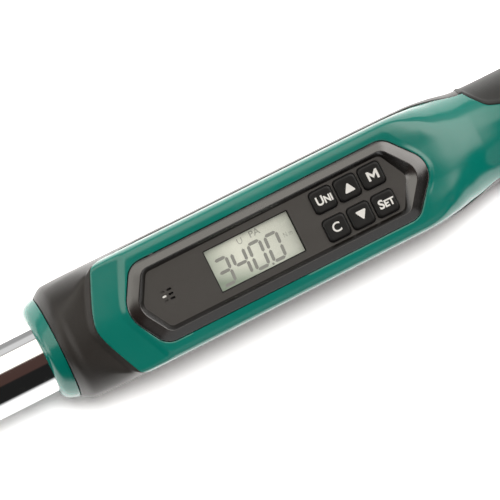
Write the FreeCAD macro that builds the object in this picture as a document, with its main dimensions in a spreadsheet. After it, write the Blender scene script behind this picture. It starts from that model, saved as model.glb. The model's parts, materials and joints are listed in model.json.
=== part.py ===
"""Electronic torque wrench with a 12.7 mm square drive, built as an assembly of separate pieces.

The frame has +X from the drive axis towards the handle, +Z up through the display, and its origin on the
drive axis at the shoulder where a socket seats. Every piece is drawn about the tube's own axis, which runs
along X, and is then lifted by axis_height. All sizes are in millimetres.
"""

import FreeCAD, Part
import math
import os

import Sketcher
from FreeCAD import Placement, Rotation, Vector

# Driving dimensions: one cell of the sheet each.
SIZES = {
    "axis_height": 14.5,
    # ratchet head
    "head_radius": 22.0,
    "head_half": 13.5,
    "head_round": 2.5,
    "pocket_floor": -5.0,
    "cover_thick": 2.0,
    "cover_radius": 20.4,
    "cover_tail_radius": 7.4,
    "cover_tail_at": 37.0,
    "neck_end": 50.0,
    "shank_radius": 9.4,
    "shank_end": 150.0,
    "beam_start": 78.0,
    "beam_end": 130.0,
    "beam_half": 6.5,
    "pin_radius": 2.5,
    "front_pin_at": 66.0,
    "rear_pin_at": 142.0,
    # drive
    "square": 12.7,
    "square_length": 16.0,
    "gear_radius": 15.0,
    "gear_top": 8.0,
    "hub_radius": 11.8,
    "top_hub_radius": 8.9,
    "drive_bore": 3.0,
    "button_seat": 5.0,
    "button_seat_floor": 4.0,
    "ball_radius": 2.2,
    "ball_drop": 8.0,
    "ball_out": 5.15,
    "release_stem": 2.9,
    "release_neck": 1.6,
    "release_head": 4.8,
    # reversing gear
    "pawl_pin_at": 22.5,
    "pawl_swing": 5.0,
    "lever_at": 32.0,
    "lever_swing": 25.0,
    "lever_shaft": 4.0,
    # tube
    "tube_radius": 12.5,
    "tube_bore": 9.5,
    "tube_start": 58.0,
    "tube_end": 612.0,
    # handle
    "ring_start": 322.0,
    "nose_start": 327.4,
    "handle_end": 609.0,
    "seam_height": 9.0,
    "wall": 2.2,
    "cavity_start": 333.0,
    "cavity_end": 462.0,
    "tube_gap": 0.1,
    "sleeve_start": 475.5,
    "sleeve_thick": 1.5,
    "spine_half": 5.8,
    # display
    "cover_top": 21.95,
    "bezel_seat": 20.3,
    "bezel_rim": 22.2,
    "bezel_ridge": 23.1,
    "panel_top": 21.4,
    "panel_thick": 1.2,
    "window_centre": 394.9,
    "window_length": 29.7,
    "window_width": 14.5,
    "key_first": 421.3,
    "key_pitch": 8.5,
    "key_row": 4.85,
    "key_size": 7.5,
    "key_height": 1.1,
    "key_travel": 0.8,
    "board_start": 356.8,
    "board_end": 450.8,
    "board_half": 12.5,
    "board_top": 16.6,
    "board_thick": 1.6,
    # power
    "cell_radius": 7.15,
    "cell_length": 50.5,
    "first_cell": 451.0,
    "cap_face": 613.2,
    "cap_end": 628.0,
    "cap_radius": 15.6,
    "cap_spigot": 9.3,
    "cap_bore": 7.4,
}


class Size:
    """A length held as a number together with the spreadsheet expression that gives it."""

    def __init__(self, value, text):
        self.value = value
        self.text = text

    def __float__(self):
        return float(self.value)

    def __add__(self, other):
        return Size(self.value + float(other), f"({self.text} + {words(other)})")

    def __sub__(self, other):
        return Size(self.value - float(other), f"({self.text} - {words(other)})")

    def __mul__(self, other):
        return Size(self.value * float(other), f"({self.text} * {words(other)})")

    def __truediv__(self, other):
        return Size(self.value / float(other), f"({self.text} / {words(other)})")

    def __neg__(self):
        return Size(-self.value, f"(-1 * {self.text})")

    def __radd__(self, other):
        return Size(float(other), repr(float(other))) + self

    def __rsub__(self, other):
        return Size(float(other), repr(float(other))) - self

    __rmul__ = __mul__


def words(value):
    """The expression text of a Size or of a plain number."""
    return value.text if isinstance(value, Size) else repr(float(value))


class Sizes:
    """Every cell of the sheet as a Size, by its alias."""


doc = FreeCAD.newDocument("torque_wrench")
sheet = doc.addObject("Spreadsheet::Sheet", "dims")
for row, (alias, value) in enumerate(SIZES.items(), 1):
    sheet.set(f"A{row}", alias)
    sheet.set(f"B{row}", str(value))
    sheet.setAlias(f"B{row}", alias)
doc.recompute()
d = Sizes()
for alias in SIZES:
    setattr(d, alias, Size(float(sheet.get(alias)), f"dims.{alias}"))

SUBPARTS = []
ALONG_X = Rotation(Vector(0, 1, 0), 90)
UNDERNEATH = Rotation(Vector(1, 0, 0), 180)
UPRIGHT = Rotation()


# ---------------------------------------------------------------- helpers


def bind(obj, **sizes):
    """Sets properties of an object to sizes, each bound to the sheet."""
    for name, value in sizes.items():
        setattr(obj, name, float(value))
        if isinstance(value, Size):
            obj.setExpression(name, value.text)


def put(obj, x=0, y=0, z=0, turn=UPRIGHT):
    """Places an object, with its position bound to the sheet."""
    obj.Placement = Placement(Vector(float(x), float(y), float(z)), turn)
    for axis, value in zip("xyz", (x, y, z)):
        if isinstance(value, Size):
            obj.setExpression(f"Placement.Base.{axis}", value.text)
    return obj


def cylinder(name, radius, length, x=0, y=0, z=0, turn=UPRIGHT):
    obj = doc.addObject("Part::Cylinder", name)
    bind(obj, Radius=radius, Height=length)
    return put(obj, x, y, z, turn)


def box(name, low, high):
    """A box between two corners."""
    obj = doc.addObject("Part::Box", name)
    bind(obj, Length=high[0] - low[0], Width=high[1] - low[1], Height=high[2] - low[2])
    return put(obj, *low)


def solid(name, shape):
    """A feature with a shape that is worked out below."""
    obj = doc.addObject("Part::Feature", name)
    obj.Shape = shape if shape.Placement.isIdentity() else Part.makeCompound([shape])
    return obj


def fuse(name, *objects):
    obj = doc.addObject("Part::MultiFuse", name)
    obj.Shapes = list(objects)
    return obj


def cut(name, base, *tools):
    """The base less every tool."""
    obj = doc.addObject("Part::Cut", name)
    obj.Base = base
    obj.Tool = tools[0] if len(tools) == 1 else fuse(name + "_tools", *tools)
    return obj


def rounded(name, base, radius, wanted):
    """A fillet on the base's edges for which wanted(edge) is true."""
    doc.recompute()
    obj = doc.addObject("Part::Fillet", name)
    obj.Base = base
    obj.Edges = [
        (i, float(radius), float(radius))
        for i, edge in enumerate(base.Shape.Edges, 1)
        if wanted(edge)
    ]
    return obj


def outline(sketch, points):
    """A closed outline whose corners are each tied to the sheet."""
    values = [(float(a), float(b)) for a, b in points]
    for i, (a, b) in enumerate(values):
        c, e = values[(i + 1) % len(values)]
        sketch.addGeometry(Part.LineSegment(Vector(a, b, 0), Vector(c, e, 0)))
    for i in range(len(values)):
        sketch.addConstraint(Sketcher.Constraint("Coincident", i, 2, (i + 1) % len(values), 1))
    for i, point in enumerate(points):
        for kind, axis_line, value in zip(("DistanceX", "DistanceY"), (-2, -1), point):
            if float(value) == 0:
                sketch.addConstraint(Sketcher.Constraint("PointOnObject", i, 1, axis_line))
                continue
            at = sketch.addConstraint(Sketcher.Constraint(kind, -1, 1, i, 1, float(value)))
            if isinstance(value, Size):
                sketch.setExpression(f"Constraints[{at}]", value.text)


def sketched(name, plane, points):
    """A PartDesign body with one sketch on one of its origin planes."""
    body = doc.addObject("PartDesign::Body", name)
    sketch = body.newObject("Sketcher::SketchObject", name + "_sketch")
    sketch.AttachmentSupport = [(next(f for f in body.Origin.OriginFeatures if f.Role == plane), "")]
    sketch.MapMode = "FlatFace"
    outline(sketch, points)
    return body, sketch


def turned(name, axis, points):
    """A body turned about X or Z from (along, radius) points."""
    along_x = axis == "X"
    body, sketch = sketched(name, "XZ_Plane", points if along_x else [(r, z) for z, r in points])
    turn = body.newObject("PartDesign::Revolution", name + "_turn")
    turn.Profile = sketch
    turn.ReferenceAxis = (sketch, ["H_Axis" if along_x else "V_Axis"])
    turn.Angle = 360
    body.Tip = turn
    return body


def plate(name, points, low, thick):
    """A body padded upwards from a flat outline at a height."""
    body, sketch = sketched(name, "XY_Plane", points)
    sketch.AttachmentOffset = Placement(Vector(0, 0, float(low)), UPRIGHT)
    if isinstance(low, Size):
        sketch.setExpression("AttachmentOffset.Base.z", low.text)
    pad = body.newObject("PartDesign::Pad", name + "_pad")
    pad.Profile = sketch
    bind(pad, Length=thick)
    body.Tip = pad
    return body


def subpart(obj, name):
    """Names a finished sub-part and lifts it from the tube's axis into the frame."""
    bound = dict(obj.ExpressionEngine)
    own = bound.get("Placement.Base.z", bound.get(".Placement.Base.z", repr(obj.Placement.Base.z)))
    obj.setExpression("Placement.Base.z", f"{own} + {d.axis_height.text}")
    obj.Label = name
    SUBPARTS.append(obj)
    return obj


def round_wire(corners, z=0.0):
    """A closed wire through (x, y, radius) corners, each rounded by an arc of its radius."""
    places = [Vector(float(x), float(y), float(z)) for x, y, _ in corners]
    pieces = []
    ends = []
    for i, (_, _, radius) in enumerate(corners):
        here, before, after = places[i], places[i - 1], places[(i + 1) % len(places)]
        back, on = (before - here).normalize(), (after - here).normalize()
        half = back.getAngle(on) / 2
        if float(radius) == 0 or abs(half - math.pi / 2) < 1e-6:
            ends.append((here, here))
            continue
        reach = float(radius) / math.tan(half)
        middle = (back + on).normalize() * (float(radius) / math.sin(half))
        nearest = here + middle - middle.normalize() * float(radius)
        ends.append((here + back * reach, here + on * reach))
        pieces.append((i, Part.Arc(ends[-1][0], nearest, ends[-1][1]).toShape()))
    arcs = dict(pieces)
    edges = []
    for i, (start, end) in enumerate(ends):
        if i in arcs:
            edges.append(arcs[i])
        edges.append(Part.makeLine(end, ends[(i + 1) % len(ends)][0]))
    return Part.Wire(edges)


def prism(wire, low, high):
    """A flat wire as a solid between two heights."""
    face = Part.Face(wire)
    face.translate(Vector(0, 0, float(low) - face.BoundBox.ZMin))
    return face.extrude(Vector(0, 0, float(high) - float(low)))


def monotone(x, knots, column):
    """A smooth value at x through a column of the knots, with no overshoot between them."""
    xs = [k[0] for k in knots]
    ys = [k[column] for k in knots]
    if x <= xs[0]:
        return ys[0]
    if x >= xs[-1]:
        return ys[-1]
    steps = [(ys[i + 1] - ys[i]) / (xs[i + 1] - xs[i]) for i in range(len(xs) - 1)]
    slopes = [steps[0]]
    for a, b in zip(steps, steps[1:]):
        slopes.append(0.0 if a * b <= 0 else 2 * a * b / (a + b))
    slopes.append(steps[-1])
    i = max(k for k in range(len(xs) - 1) if xs[k] <= x)
    span = xs[i + 1] - xs[i]
    t = (x - xs[i]) / span
    return (
        ys[i] * (2 * t**3 - 3 * t**2 + 1)
        + ys[i + 1] * (3 * t**2 - 2 * t**3)
        + slopes[i] * span * (t**3 - 2 * t**2 + t)
        + slopes[i + 1] * span * (t**3 - t**2)
    )


SECTION_POINTS = 48
CORNER_CROWDING = 0.03


def section(x, knots, inset=0.0):
    """A closed superellipse across the handle or the neck, drawn in by inset all round."""
    width, top, bottom, top_power, bottom_power = (monotone(x, knots, k) for k in range(1, 6))
    points = []
    for i in range(SECTION_POINTS):
        angle = 2 * math.pi * i / SECTION_POINTS
        height, power = (top, top_power) if math.sin(angle) >= 0 else (bottom, bottom_power)
        angle += CORNER_CROWDING * (power - 2) * math.sin(4 * angle)
        across, up = math.cos(angle), math.sin(angle)
        reach = abs(across / (width - inset)) ** power + abs(up / (height - inset)) ** power
        radius = reach ** (-1 / power)
        points.append(Vector(x, radius * across, radius * up))
    curve = Part.BSplineCurve()
    curve.interpolate(points, PeriodicFlag=True)
    return Part.Wire(curve.toShape())


def loft(knots, stations, inset=0.0):
    return Part.makeLoft([section(x, knots, inset) for x in stations], True, False)


def between(start, end, step):
    """Evenly spaced stations from start to end, at most step apart."""
    count = math.ceil((end - start) / step)
    return [start + (end - start) * i / count for i in range(count + 1)]


def coil(radius, wire, length, turns):
    """A spring about Z from the origin, with a radius at its base and one at its top."""
    low, high = radius
    angle = math.degrees(math.atan2(high - low, length))
    helix = Part.makeHelix(length / turns, length, low, angle)
    ring = Part.makeCircle(wire / 2, Vector(low, 0, 0), Vector(0, 1, 0))
    return helix.makePipeShell([Part.Wire(ring)], True, True)


def screw(head_radius, head_thick, shank_radius, length, socket):
    """A socket screw about Z with its head's top at the origin and its shank pointing down."""
    head = Part.makeCylinder(head_radius, head_thick, Vector(0, 0, -head_thick))
    head = head.makeFillet(head_thick * 0.2, [e for e in head.Edges if e.BoundBox.ZMin > -0.01])
    shank = Part.makeCylinder(shank_radius, length, Vector(0, 0, -head_thick - length))
    shank = shank.makeChamfer(shank_radius * 0.3, [shank.Edges[2]])
    corners = [
        (socket * math.cos(math.radians(60 * k)), socket * math.sin(math.radians(60 * k)), 0)
        for k in range(6)
    ]
    recess = prism(round_wire(corners), -head_thick * 0.6, 1)
    return head.fuse(shank).removeSplitter().cut(recess)


def repeated(shape, places):
    """Separate solids of one shape at several places, as one compound."""
    moved = []
    for place in places:
        item = shape.copy()
        item.Placement = place.multiply(item.Placement)
        moved.append(item)
    return Part.makeCompound(moved)


def copies(name, shape, places):
    """Separate solids of one shape at several places, as one feature."""
    return solid(name, repeated(shape, places))


def at(x, y=0, z=0, turn=UPRIGHT):
    return Placement(Vector(float(x), float(y), float(z)), turn)


# ---------------------------------------------------------------- ratchet head

# x, half width, top, bottom, power above, power below
NECK = [
    (0.0, 19.5, 12.0, 12.0, 3.2, 3.2),
    (12.0, 19.3, 12.0, 12.0, 3.2, 3.2),
    (30.0, 14.6, 11.7, 11.7, 2.8, 2.8),
    (42.0, 11.4, 10.8, 10.8, 2.3, 2.3),
    (50.0, 10.8, 10.8, 10.8, 2.0, 2.0),
]
GEAR_TEETH = 72
TOOTH_DEPTH = 0.65
COVER_SCREW_REACH = 18.0
COVER_SCREW_ANGLES = (112, 248)
COVER_TAIL_SCREW = 41.5


def teardrop(radius, tail_radius, tail_at, low, high):
    """A flat plate round two circles, the large one at the origin, and their common tangents."""
    lean = math.acos((float(radius) - float(tail_radius)) / float(tail_at))
    big, tail = float(radius), float(tail_radius)
    up = Vector(math.cos(lean), math.sin(lean), 0)
    down = Vector(up.x, -up.y, 0)
    centre = Vector(float(tail_at), 0, 0)
    wire = Part.Wire([
        Part.Arc(up * big, Vector(-big, 0, 0), down * big).toShape(),
        Part.makeLine(down * big, centre + down * tail),
        Part.Arc(centre + down * tail, centre + Vector(tail, 0, 0), centre + up * tail).toShape(),
        Part.makeLine(centre + up * tail, up * big),
    ])
    return prism(wire, low, high)


def gear_outline(tip_radius, grow=0.0):
    """The ratchet gear's toothed outline, one tip and one root for each tooth."""
    points = []
    for k in range(2 * GEAR_TEETH):
        radius = tip_radius + grow - (TOOTH_DEPTH if k % 2 else 0)
        angle = math.pi * k / GEAR_TEETH
        points.append(Vector(radius * math.cos(angle), radius * math.sin(angle), 0))
    return Part.makePolygon(points + points[:1])


def screw_places(height):
    """Where the cover's three screws stand."""
    places = [
        (COVER_SCREW_REACH * math.cos(math.radians(a)), COVER_SCREW_REACH * math.sin(math.radians(a)))
        for a in COVER_SCREW_ANGLES
    ]
    return [at(x, y, height) for x, y in places + [(COVER_TAIL_SCREW, 0)]]


def build_head():
    half = d.head_half
    seat = half - d.cover_thick
    disc = rounded(
        "head_disc",
        cylinder("head_round_bar", d.head_radius, half * 2, z=-half),
        d.head_round,
        lambda e: e.Curve.TypeId == "Part::GeomCircle",
    )
    neck = solid("head_neck", loft(NECK, [k[0] for k in NECK]))
    collar = turned("head_collar", "X", [
        (46, 0), (46, 8.0), (d.neck_end, 10.8), (d.neck_end + 1.5, 12.2), (d.neck_end + 2.5, d.tube_radius),
        (d.tube_start, d.tube_radius), (d.tube_start, d.shank_radius), (d.shank_end - 1, d.shank_radius),
        (d.shank_end, d.shank_radius - 1), (d.shank_end, 0),
    ])
    flats = [
        box(
            f"beam_flat_{side}",
            (d.beam_start, d.beam_half if side > 0 else -d.beam_half - 10, -12),
            (d.beam_end, d.beam_half + 10 if side > 0 else -d.beam_half, 12),
        )
        for side in (1, -1)
    ]
    pin_holes = [
        cylinder(f"pin_hole_{k}", d.pin_radius, 40, x=where, z=-20)
        for k, where in enumerate((d.front_pin_at, d.rear_pin_at))
    ]
    wire_groove = box("wire_groove", (d.beam_end - 6, 3.6, 4.2), (d.shank_end + 1, 6.9, 12))
    gear_pocket = cylinder("gear_pocket", d.gear_radius + 0.3, 30, z=d.pocket_floor)
    hub_bore = cylinder("hub_bore", d.hub_radius + 0.06, 40, z=-20)
    cover_seat = solid("cover_seat", teardrop(
        float(d.cover_radius) + 0.1, float(d.cover_tail_radius) + 0.1, d.cover_tail_at, seat, 20))
    pawl_pocket = box("pawl_pocket", (8, -12.2, d.pocket_floor), (27.6, 12.2, seat))
    lever_bore = cylinder("lever_bore", d.lever_shaft + 0.08, 40, x=d.lever_at, z=-8)
    sweep_room = cylinder("plunger_room", 6.6, 7, x=d.lever_at, z=0)
    pawl_pin_hole = cylinder("pawl_pin_hole", 2, 10, x=d.pawl_pin_at, z=d.pocket_floor - 5)
    screw_holes = copies("cover_screw_holes", Part.makeCylinder(1.25, 7), screw_places(float(seat) - 6.5))
    head = cut(
        "head", fuse("head_blank", disc, neck, collar), gear_pocket, hub_bore, cover_seat, pawl_pocket,
        lever_bore, sweep_room, pawl_pin_hole, screw_holes, wire_groove, *flats, *pin_holes,
    )
    subpart(head, "ratchet_head")

    holes = [
        cylinder("cover_hub_hole", d.top_hub_radius + 0.1, 10, z=8),
        cylinder("cover_lever_hole", d.lever_shaft + 0.1, 10, x=d.lever_at, z=8),
        copies("cover_screw_seats", Part.makeCylinder(2.3, 3), screw_places(float(half) - 1.2)),
        copies("cover_screw_ways", Part.makeCylinder(1.35, 6), screw_places(float(seat) - 2)),
    ]
    blank = solid("cover_blank", teardrop(d.cover_radius, d.cover_tail_radius, d.cover_tail_at, seat, half))
    subpart(cut("cover", blank, *holes), "head_cover")
    subpart(copies("screws", screw(2.2, 1.1, 1.2, 6, 1.1), screw_places(float(half) - 0.05)), "cover_screws")
    pin = Part.makeCylinder(float(d.pin_radius), 24.2)
    pin = pin.makeChamfer(0.4, [e for e in pin.Edges if e.BoundBox.ZLength < 0.01])
    places = [at(x, 0, -12.1) for x in (d.front_pin_at, d.rear_pin_at)]
    subpart(copies("pins", pin, places), "head_pins")


def build_drive():
    half = d.square / 2
    shoulder = -d.axis_height
    gear = solid("gear_wheel", prism(gear_outline(float(d.gear_radius)), d.pocket_floor + 0.1, d.gear_top))
    hub = cylinder("gear_hub", d.hub_radius, d.axis_height + d.pocket_floor + 1, z=shoulder)
    top_hub = cylinder("gear_top_hub", d.top_hub_radius, d.head_half - d.gear_top + 0.4, z=d.gear_top - 0.5)
    tip = shoulder - d.square_length
    shaft = box("square_bar", (-half, -half, tip), (half, half, shoulder + 1))
    softened = rounded("square_edges", shaft, 1.4, lambda e: e.BoundBox.ZLength > 10)
    eased = rounded("square_tip", softened, 0.9, lambda e: e.BoundBox.ZMax < float(tip) + 0.01)
    ball_height = shoulder - d.ball_drop
    bore = cylinder("release_bore", d.drive_bore, 60, z=ball_height - 5)
    seat = cylinder("release_seat", d.button_seat, 20, z=d.button_seat_floor)
    ball_way = cylinder("ball_way", d.ball_radius + 0.06, 10, z=ball_height, turn=ALONG_X)
    body = fuse("drive_blank", gear, hub, top_hub, eased)
    subpart(cut("drive", body, bore, seat, ball_way), "drive_gear")

    ball = doc.addObject("Part::Sphere", "ball")
    bind(ball, Radius=d.ball_radius)
    put(ball, x=d.ball_out, z=ball_height)
    subpart(ball, "detent_ball")

    stem, neck, crown = d.release_stem, d.release_neck, d.release_head
    crown_top = d.head_half + 0.7
    crown_foot = d.button_seat_floor + 5
    subpart(turned("release", "Z", [
        (crown_top, 0), (crown_top, crown - 0.5), (crown_top - 0.5, crown), (crown_foot, crown),
        (crown_foot, stem), (ball_height + 5, stem), (ball_height + 5, neck), (ball_height + 1.9, neck),
        (ball_height - 0.6, stem), (ball_height - 1.6, stem), (ball_height - 2, stem - 0.4),
        (ball_height - 2, 0),
    ]), "release_button")
    spring = solid("release_coil", coil((4.0, 3.8), 0.45, 4.45, 5))
    put(spring, z=d.button_seat_floor + 0.28)
    subpart(spring, "release_spring")


def build_reverser():
    """The rocking pawl, its pin, and the lever whose sprung plunger throws it over."""
    pivot = Vector(float(d.pawl_pin_at), 0, 0)
    upright = Vector(0, 0, 1)
    low, high = float(d.pocket_floor) + 0.4, float(d.gear_top) - 0.4
    back, reach = 26.2, 11.0
    corners = [(10.5, 0, 0), (10.5, reach, 1), (16.5, reach + 0.4, 2), (back, 5.5, 2), (back, 0, 0)]
    half = prism(round_wire(corners), low, high)
    swing = float(d.pawl_swing)
    room = Part.makeCylinder(float(d.gear_radius) + 0.25, 60, Vector(0, 0, -30))
    bite = prism(gear_outline(float(d.gear_radius), 0.07), -30, 30)
    half = half.cut(Part.makeBox(12, 5.6, 60, Vector(7, 0, -30)).common(
        Part.makeCylinder(float(d.gear_radius) + 1.2, 60, Vector(0, 0, -30))))
    half.rotate(pivot, upright, -swing)
    half = half.cut(room)
    half.rotate(pivot, upright, 2 * swing)
    half = half.cut(bite)
    half.rotate(pivot, upright, -swing)
    whole = half.fuse(half.mirror(Vector(0, 0, 0), Vector(0, 1, 0))).removeSplitter()
    whole = whole.cut(Part.makeCylinder(2.05, 60, pivot + Vector(0, 0, -30)))
    whole.rotate(pivot, upright, swing)
    subpart(solid("rocker", whole), "pawl")
    pin_low = d.pocket_floor - 5
    pin = cylinder("pivot", 2.0, d.head_half - d.cover_thick - pin_low - 0.05, x=d.pawl_pin_at, z=pin_low)
    subpart(pin, "pawl_pin")

    height = 3.5
    shaft = turned("lever_shaft_bar", "Z", [
        (-7.6, 0), (-7.6, 3.4), (-7, d.lever_shaft), (d.head_half + 0.6, d.lever_shaft),
        (d.head_half + 0.6, 6.6), (d.head_half + 2.6, 6.9), (d.head_half + 3.4, 6.1), (d.head_half + 3.4, 0),
    ])
    tab = prism(round_wire([(0, -5.6, 1), (15, -3.6, 2), (15, 3.6, 2), (0, 5.6, 1)]), 14.3, 16.6)
    tab = tab.makeFillet(0.6, tab.Faces[-1].Edges)
    ridge = prism(round_wire([(9.5, -3.2, 1), (14.0, -2.8, 1), (14.0, 2.8, 1), (9.5, 3.2, 1)]), 16, 18.2)
    ridge = ridge.makeFillet(0.6, ridge.Faces[-1].Edges)
    plunger_way = cylinder("plunger_way", 1.3, 8.2, x=2.6, z=height, turn=Rotation(Vector(0, 1, 0), -90))
    blank = fuse("lever_blank", shaft, solid("lever_tab", tab), solid("lever_ridge", ridge))
    lever = cut("lever", blank, plunger_way)
    lean = Rotation(Vector(0, 0, 1), -float(d.lever_swing))
    put(lever, x=d.lever_at, turn=lean)
    subpart(lever, "reversing_lever")
    tip = Part.makeSphere(1.2, Vector(-4.4, 0, 0))
    rod = Part.makeCylinder(1.2, 3.6, Vector(-4.4, 0, 0), Vector(1, 0, 0))
    plunger = solid("plunger", tip.fuse(rod).removeSplitter())
    put(plunger, x=d.lever_at, z=height, turn=lean)
    subpart(plunger, "selector_plunger")
    spring = coil((0.85, 0.85), 0.28, 2.3, 5)
    spring.rotate(Vector(0, 0, 0), Vector(0, 1, 0), 90)
    spring.translate(Vector(-0.1, 0, 0))
    spring = solid("plunger_coil", spring)
    put(spring, x=d.lever_at, z=height, turn=lean)
    subpart(spring, "selector_spring")


# ---------------------------------------------------------------- tube and sensor

GAUGE_PLACES = (96.0, 112.0)
CABLE_RADIUS = 1.2


def build_tube():
    bar = turned("tube_bar", "X", [
        (d.tube_start, d.tube_bore), (d.tube_start, d.tube_radius - 0.4), (d.tube_start + 0.4, d.tube_radius),
        (d.tube_end - 0.5, d.tube_radius), (d.tube_end, d.tube_radius - 0.5), (d.tube_end, d.tube_bore),
    ])
    ways = [
        cylinder("tube_pin_hole_front", d.pin_radius, 40, x=d.front_pin_at, z=-20),
        cylinder("tube_pin_hole_rear", d.pin_radius, 40, x=d.rear_pin_at, z=-20),
        box("cable_slot", (344, -3.5, 5), (360, 3.5, 14)),
        box("lead_slot", (426, -3, 5), (440, 3, 14)),
        cylinder("handle_screw_way", 2.05, 10, x=466, z=-16),
    ]
    subpart(cut("tube_cut", bar, *ways), "tube")

    pads = []
    for side in (1, -1):
        for x in GAUGE_PLACES:
            low = float(d.beam_half) if side > 0 else -float(d.beam_half) - 0.35
            pads.append(Part.makeBox(9, 0.35, 6, Vector(x, low, -3)))
    subpart(solid("gauges", Part.makeCompound(pads)), "strain_gauges")

    beside_pin = Vector(126, 5.2, 5.8)
    stops = [
        beside_pin, Vector(322, 5.2, 5.8), Vector(344, 0, 3.6), Vector(356, 0, 13.7), Vector(362.4, 0, 13.7),
    ]
    subpart(solid("sensor_lead", swept(stops, CABLE_RADIUS)), "gauge_cable")


def swept(stops, radius):
    """A round cable along straight runs joined by tangent arcs."""
    edges = []
    last = stops[0]
    for before, here, after in zip(stops, stops[1:], stops[2:]):
        back, on = before - here, after - here
        reach = 0.45 * min(back.Length, on.Length)
        back.normalize()
        on.normalize()
        start, end = here + back * reach, here + on * reach
        half = back.getAngle(on) / 2
        bend = reach * math.tan(half)
        inward = (back + on).normalize()
        middle = here + inward * (bend / math.sin(half) - bend)
        edges.append(Part.makeLine(last, start))
        edges.append(Part.Arc(start, middle, end).toShape())
        last = end
    edges.append(Part.makeLine(last, stops[-1]))
    path = Part.Wire(edges)
    ring = Part.Wire(Part.makeCircle(radius, stops[0], stops[1] - stops[0]))
    return path.makePipeShell([ring], True, True)


# ---------------------------------------------------------------- handle

# x, half width, top, bottom, power above, power below
HANDLE = [
    (327.4, 17.1, 17.1, 17.1, 2.0, 2.0),
    (331.3, 19.3, 19.2, 17.9, 2.5, 2.2),
    (338.0, 19.4, 20.2, 17.6, 3.4, 2.4),
    (350.0, 19.3, 22.4, 17.4, 5.5, 2.7),
    (362.0, 19.2, 22.6, 17.2, 6.5, 2.8),
    (446.0, 18.75, 22.6, 17.0, 6.5, 2.8),
    (458.0, 18.5, 21.8, 16.9, 5.0, 2.7),
    (466.0, 17.7, 19.9, 16.6, 3.6, 2.5),
    (475.0, 16.1, 17.5, 16.1, 2.7, 2.3),
    (486.0, 15.8, 16.5, 15.9, 2.3, 2.2),
    (540.0, 16.2, 16.4, 16.7, 2.2, 2.2),
    (590.0, 16.6, 16.6, 16.4, 2.1, 2.1),
    (609.0, 16.4, 16.4, 16.4, 2.0, 2.0),
]
RIBS = (334.5, 455.5)
RIB_THICK = 2.0
BOSSES = (368.0, 446.0)
BOSS_SIDE = 14.9
BOSS_RADIUS = 2.15
BOSS_TOP = 14.0


def hexagon(front, front_corner, rear_corner, rear, half, tip_round, corner_round):
    """The display's long hexagon as (x, y, radius) corners, pointed fore and aft."""
    return [
        (front, 0, tip_round), (front_corner, -half, corner_round), (rear_corner, -half, corner_round),
        (rear, 0, tip_round * 0.8), (rear_corner, half, corner_round), (front_corner, half, corner_round),
    ]


BEZEL_OUTLINE = hexagon(349.5, 357.6, 446.1, 457.6, 13.75, 10, 6)
RIDGE_OUTLINE = hexagon(353.8, 360.4, 444.3, 452.6, 10.85, 7, 3.5)
OPENING_OUTLINE = hexagon(356.0, 361.4, 443.1, 448.1, 9.4, 3, 2.0)
PANEL_OUTLINE = hexagon(351.9, 358.4, 445.2, 455.0, 12.3, 9, 5)
# How far a hexagon's tips and its side corners move along the handle for each unit that it grows.
TIP_GROWTH = 1.155
CORNER_GROWTH = 0.6
# The green cover's front edge, seen from above, and the spine that it sends back along the grip.
COVER_FRONT = [
    (338.2, 0, 6), (347.6, -16, 5), (352.0, -19.5, 3), (353.0, -30, 0), (620, -30, 0), (620, 30, 0),
    (353.0, 30, 0), (352.0, 19.5, 3), (347.6, 16, 5),
]
HANDLE_SCREW_AT = 466.0
CASE_SCREW_HEAD = -11.6


def spine_wire():
    """The outline of the spine between the sleeve's two edges, from full width to a rounded end."""
    half = float(d.spine_half)
    side = [Vector(474.5, 17.5, 0), Vector(478.0, 12.2, 0), Vector(482.0, 7.6, 0), Vector(489.0, half, 0)]
    curve = Part.BSplineCurve()
    curve.interpolate(side, InitialTangent=Vector(0.3, -1, 0), FinalTangent=Vector(1, 0, 0))
    far = Vector(588, half - 1.6, 0)
    tip = Vector(far.x + half - 1.6, 0, 0)
    front, shoulder = Vector(455, 25, 0), Vector(473.5, 25, 0)
    edges = [Part.makeLine(front, shoulder), Part.makeLine(shoulder, side[0])]
    edges += [curve.toShape(), Part.makeLine(side[-1], far)]
    mirrored = [e.mirror(Vector(0, 0, 0), Vector(0, 1, 0)) for e in edges]
    end = Part.Arc(far, tip, Vector(far.x, -far.y, 0)).toShape()
    across = Part.makeLine(front, Vector(front.x, -front.y, 0))
    return Part.Wire(Part.__sortEdges__(edges + [end] + mirrored + [across]))


def half_space(low_x, high_x, low_z, high_z, half_width=40):
    """A block across the whole handle between two stations and two heights."""
    return Part.makeBox(
        high_x - low_x, 2 * half_width, high_z - low_z, Vector(low_x, -half_width, low_z))


def ribs_and_bosses(cavity, tube_way):
    """The cross walls that carry the shells on the tube and the posts for the case screws."""
    pieces = []
    for x in RIBS:
        rib = cavity.common(half_space(x, x + RIB_THICK, -30, 30))
        pieces.append(rib.cut(tube_way))
    for place in boss_places():
        post = Part.makeCylinder(BOSS_RADIUS, BOSS_TOP + 30, place.Base + Vector(0, 0, -30))
        pieces.append(post.common(cavity))
    return pieces


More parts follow.
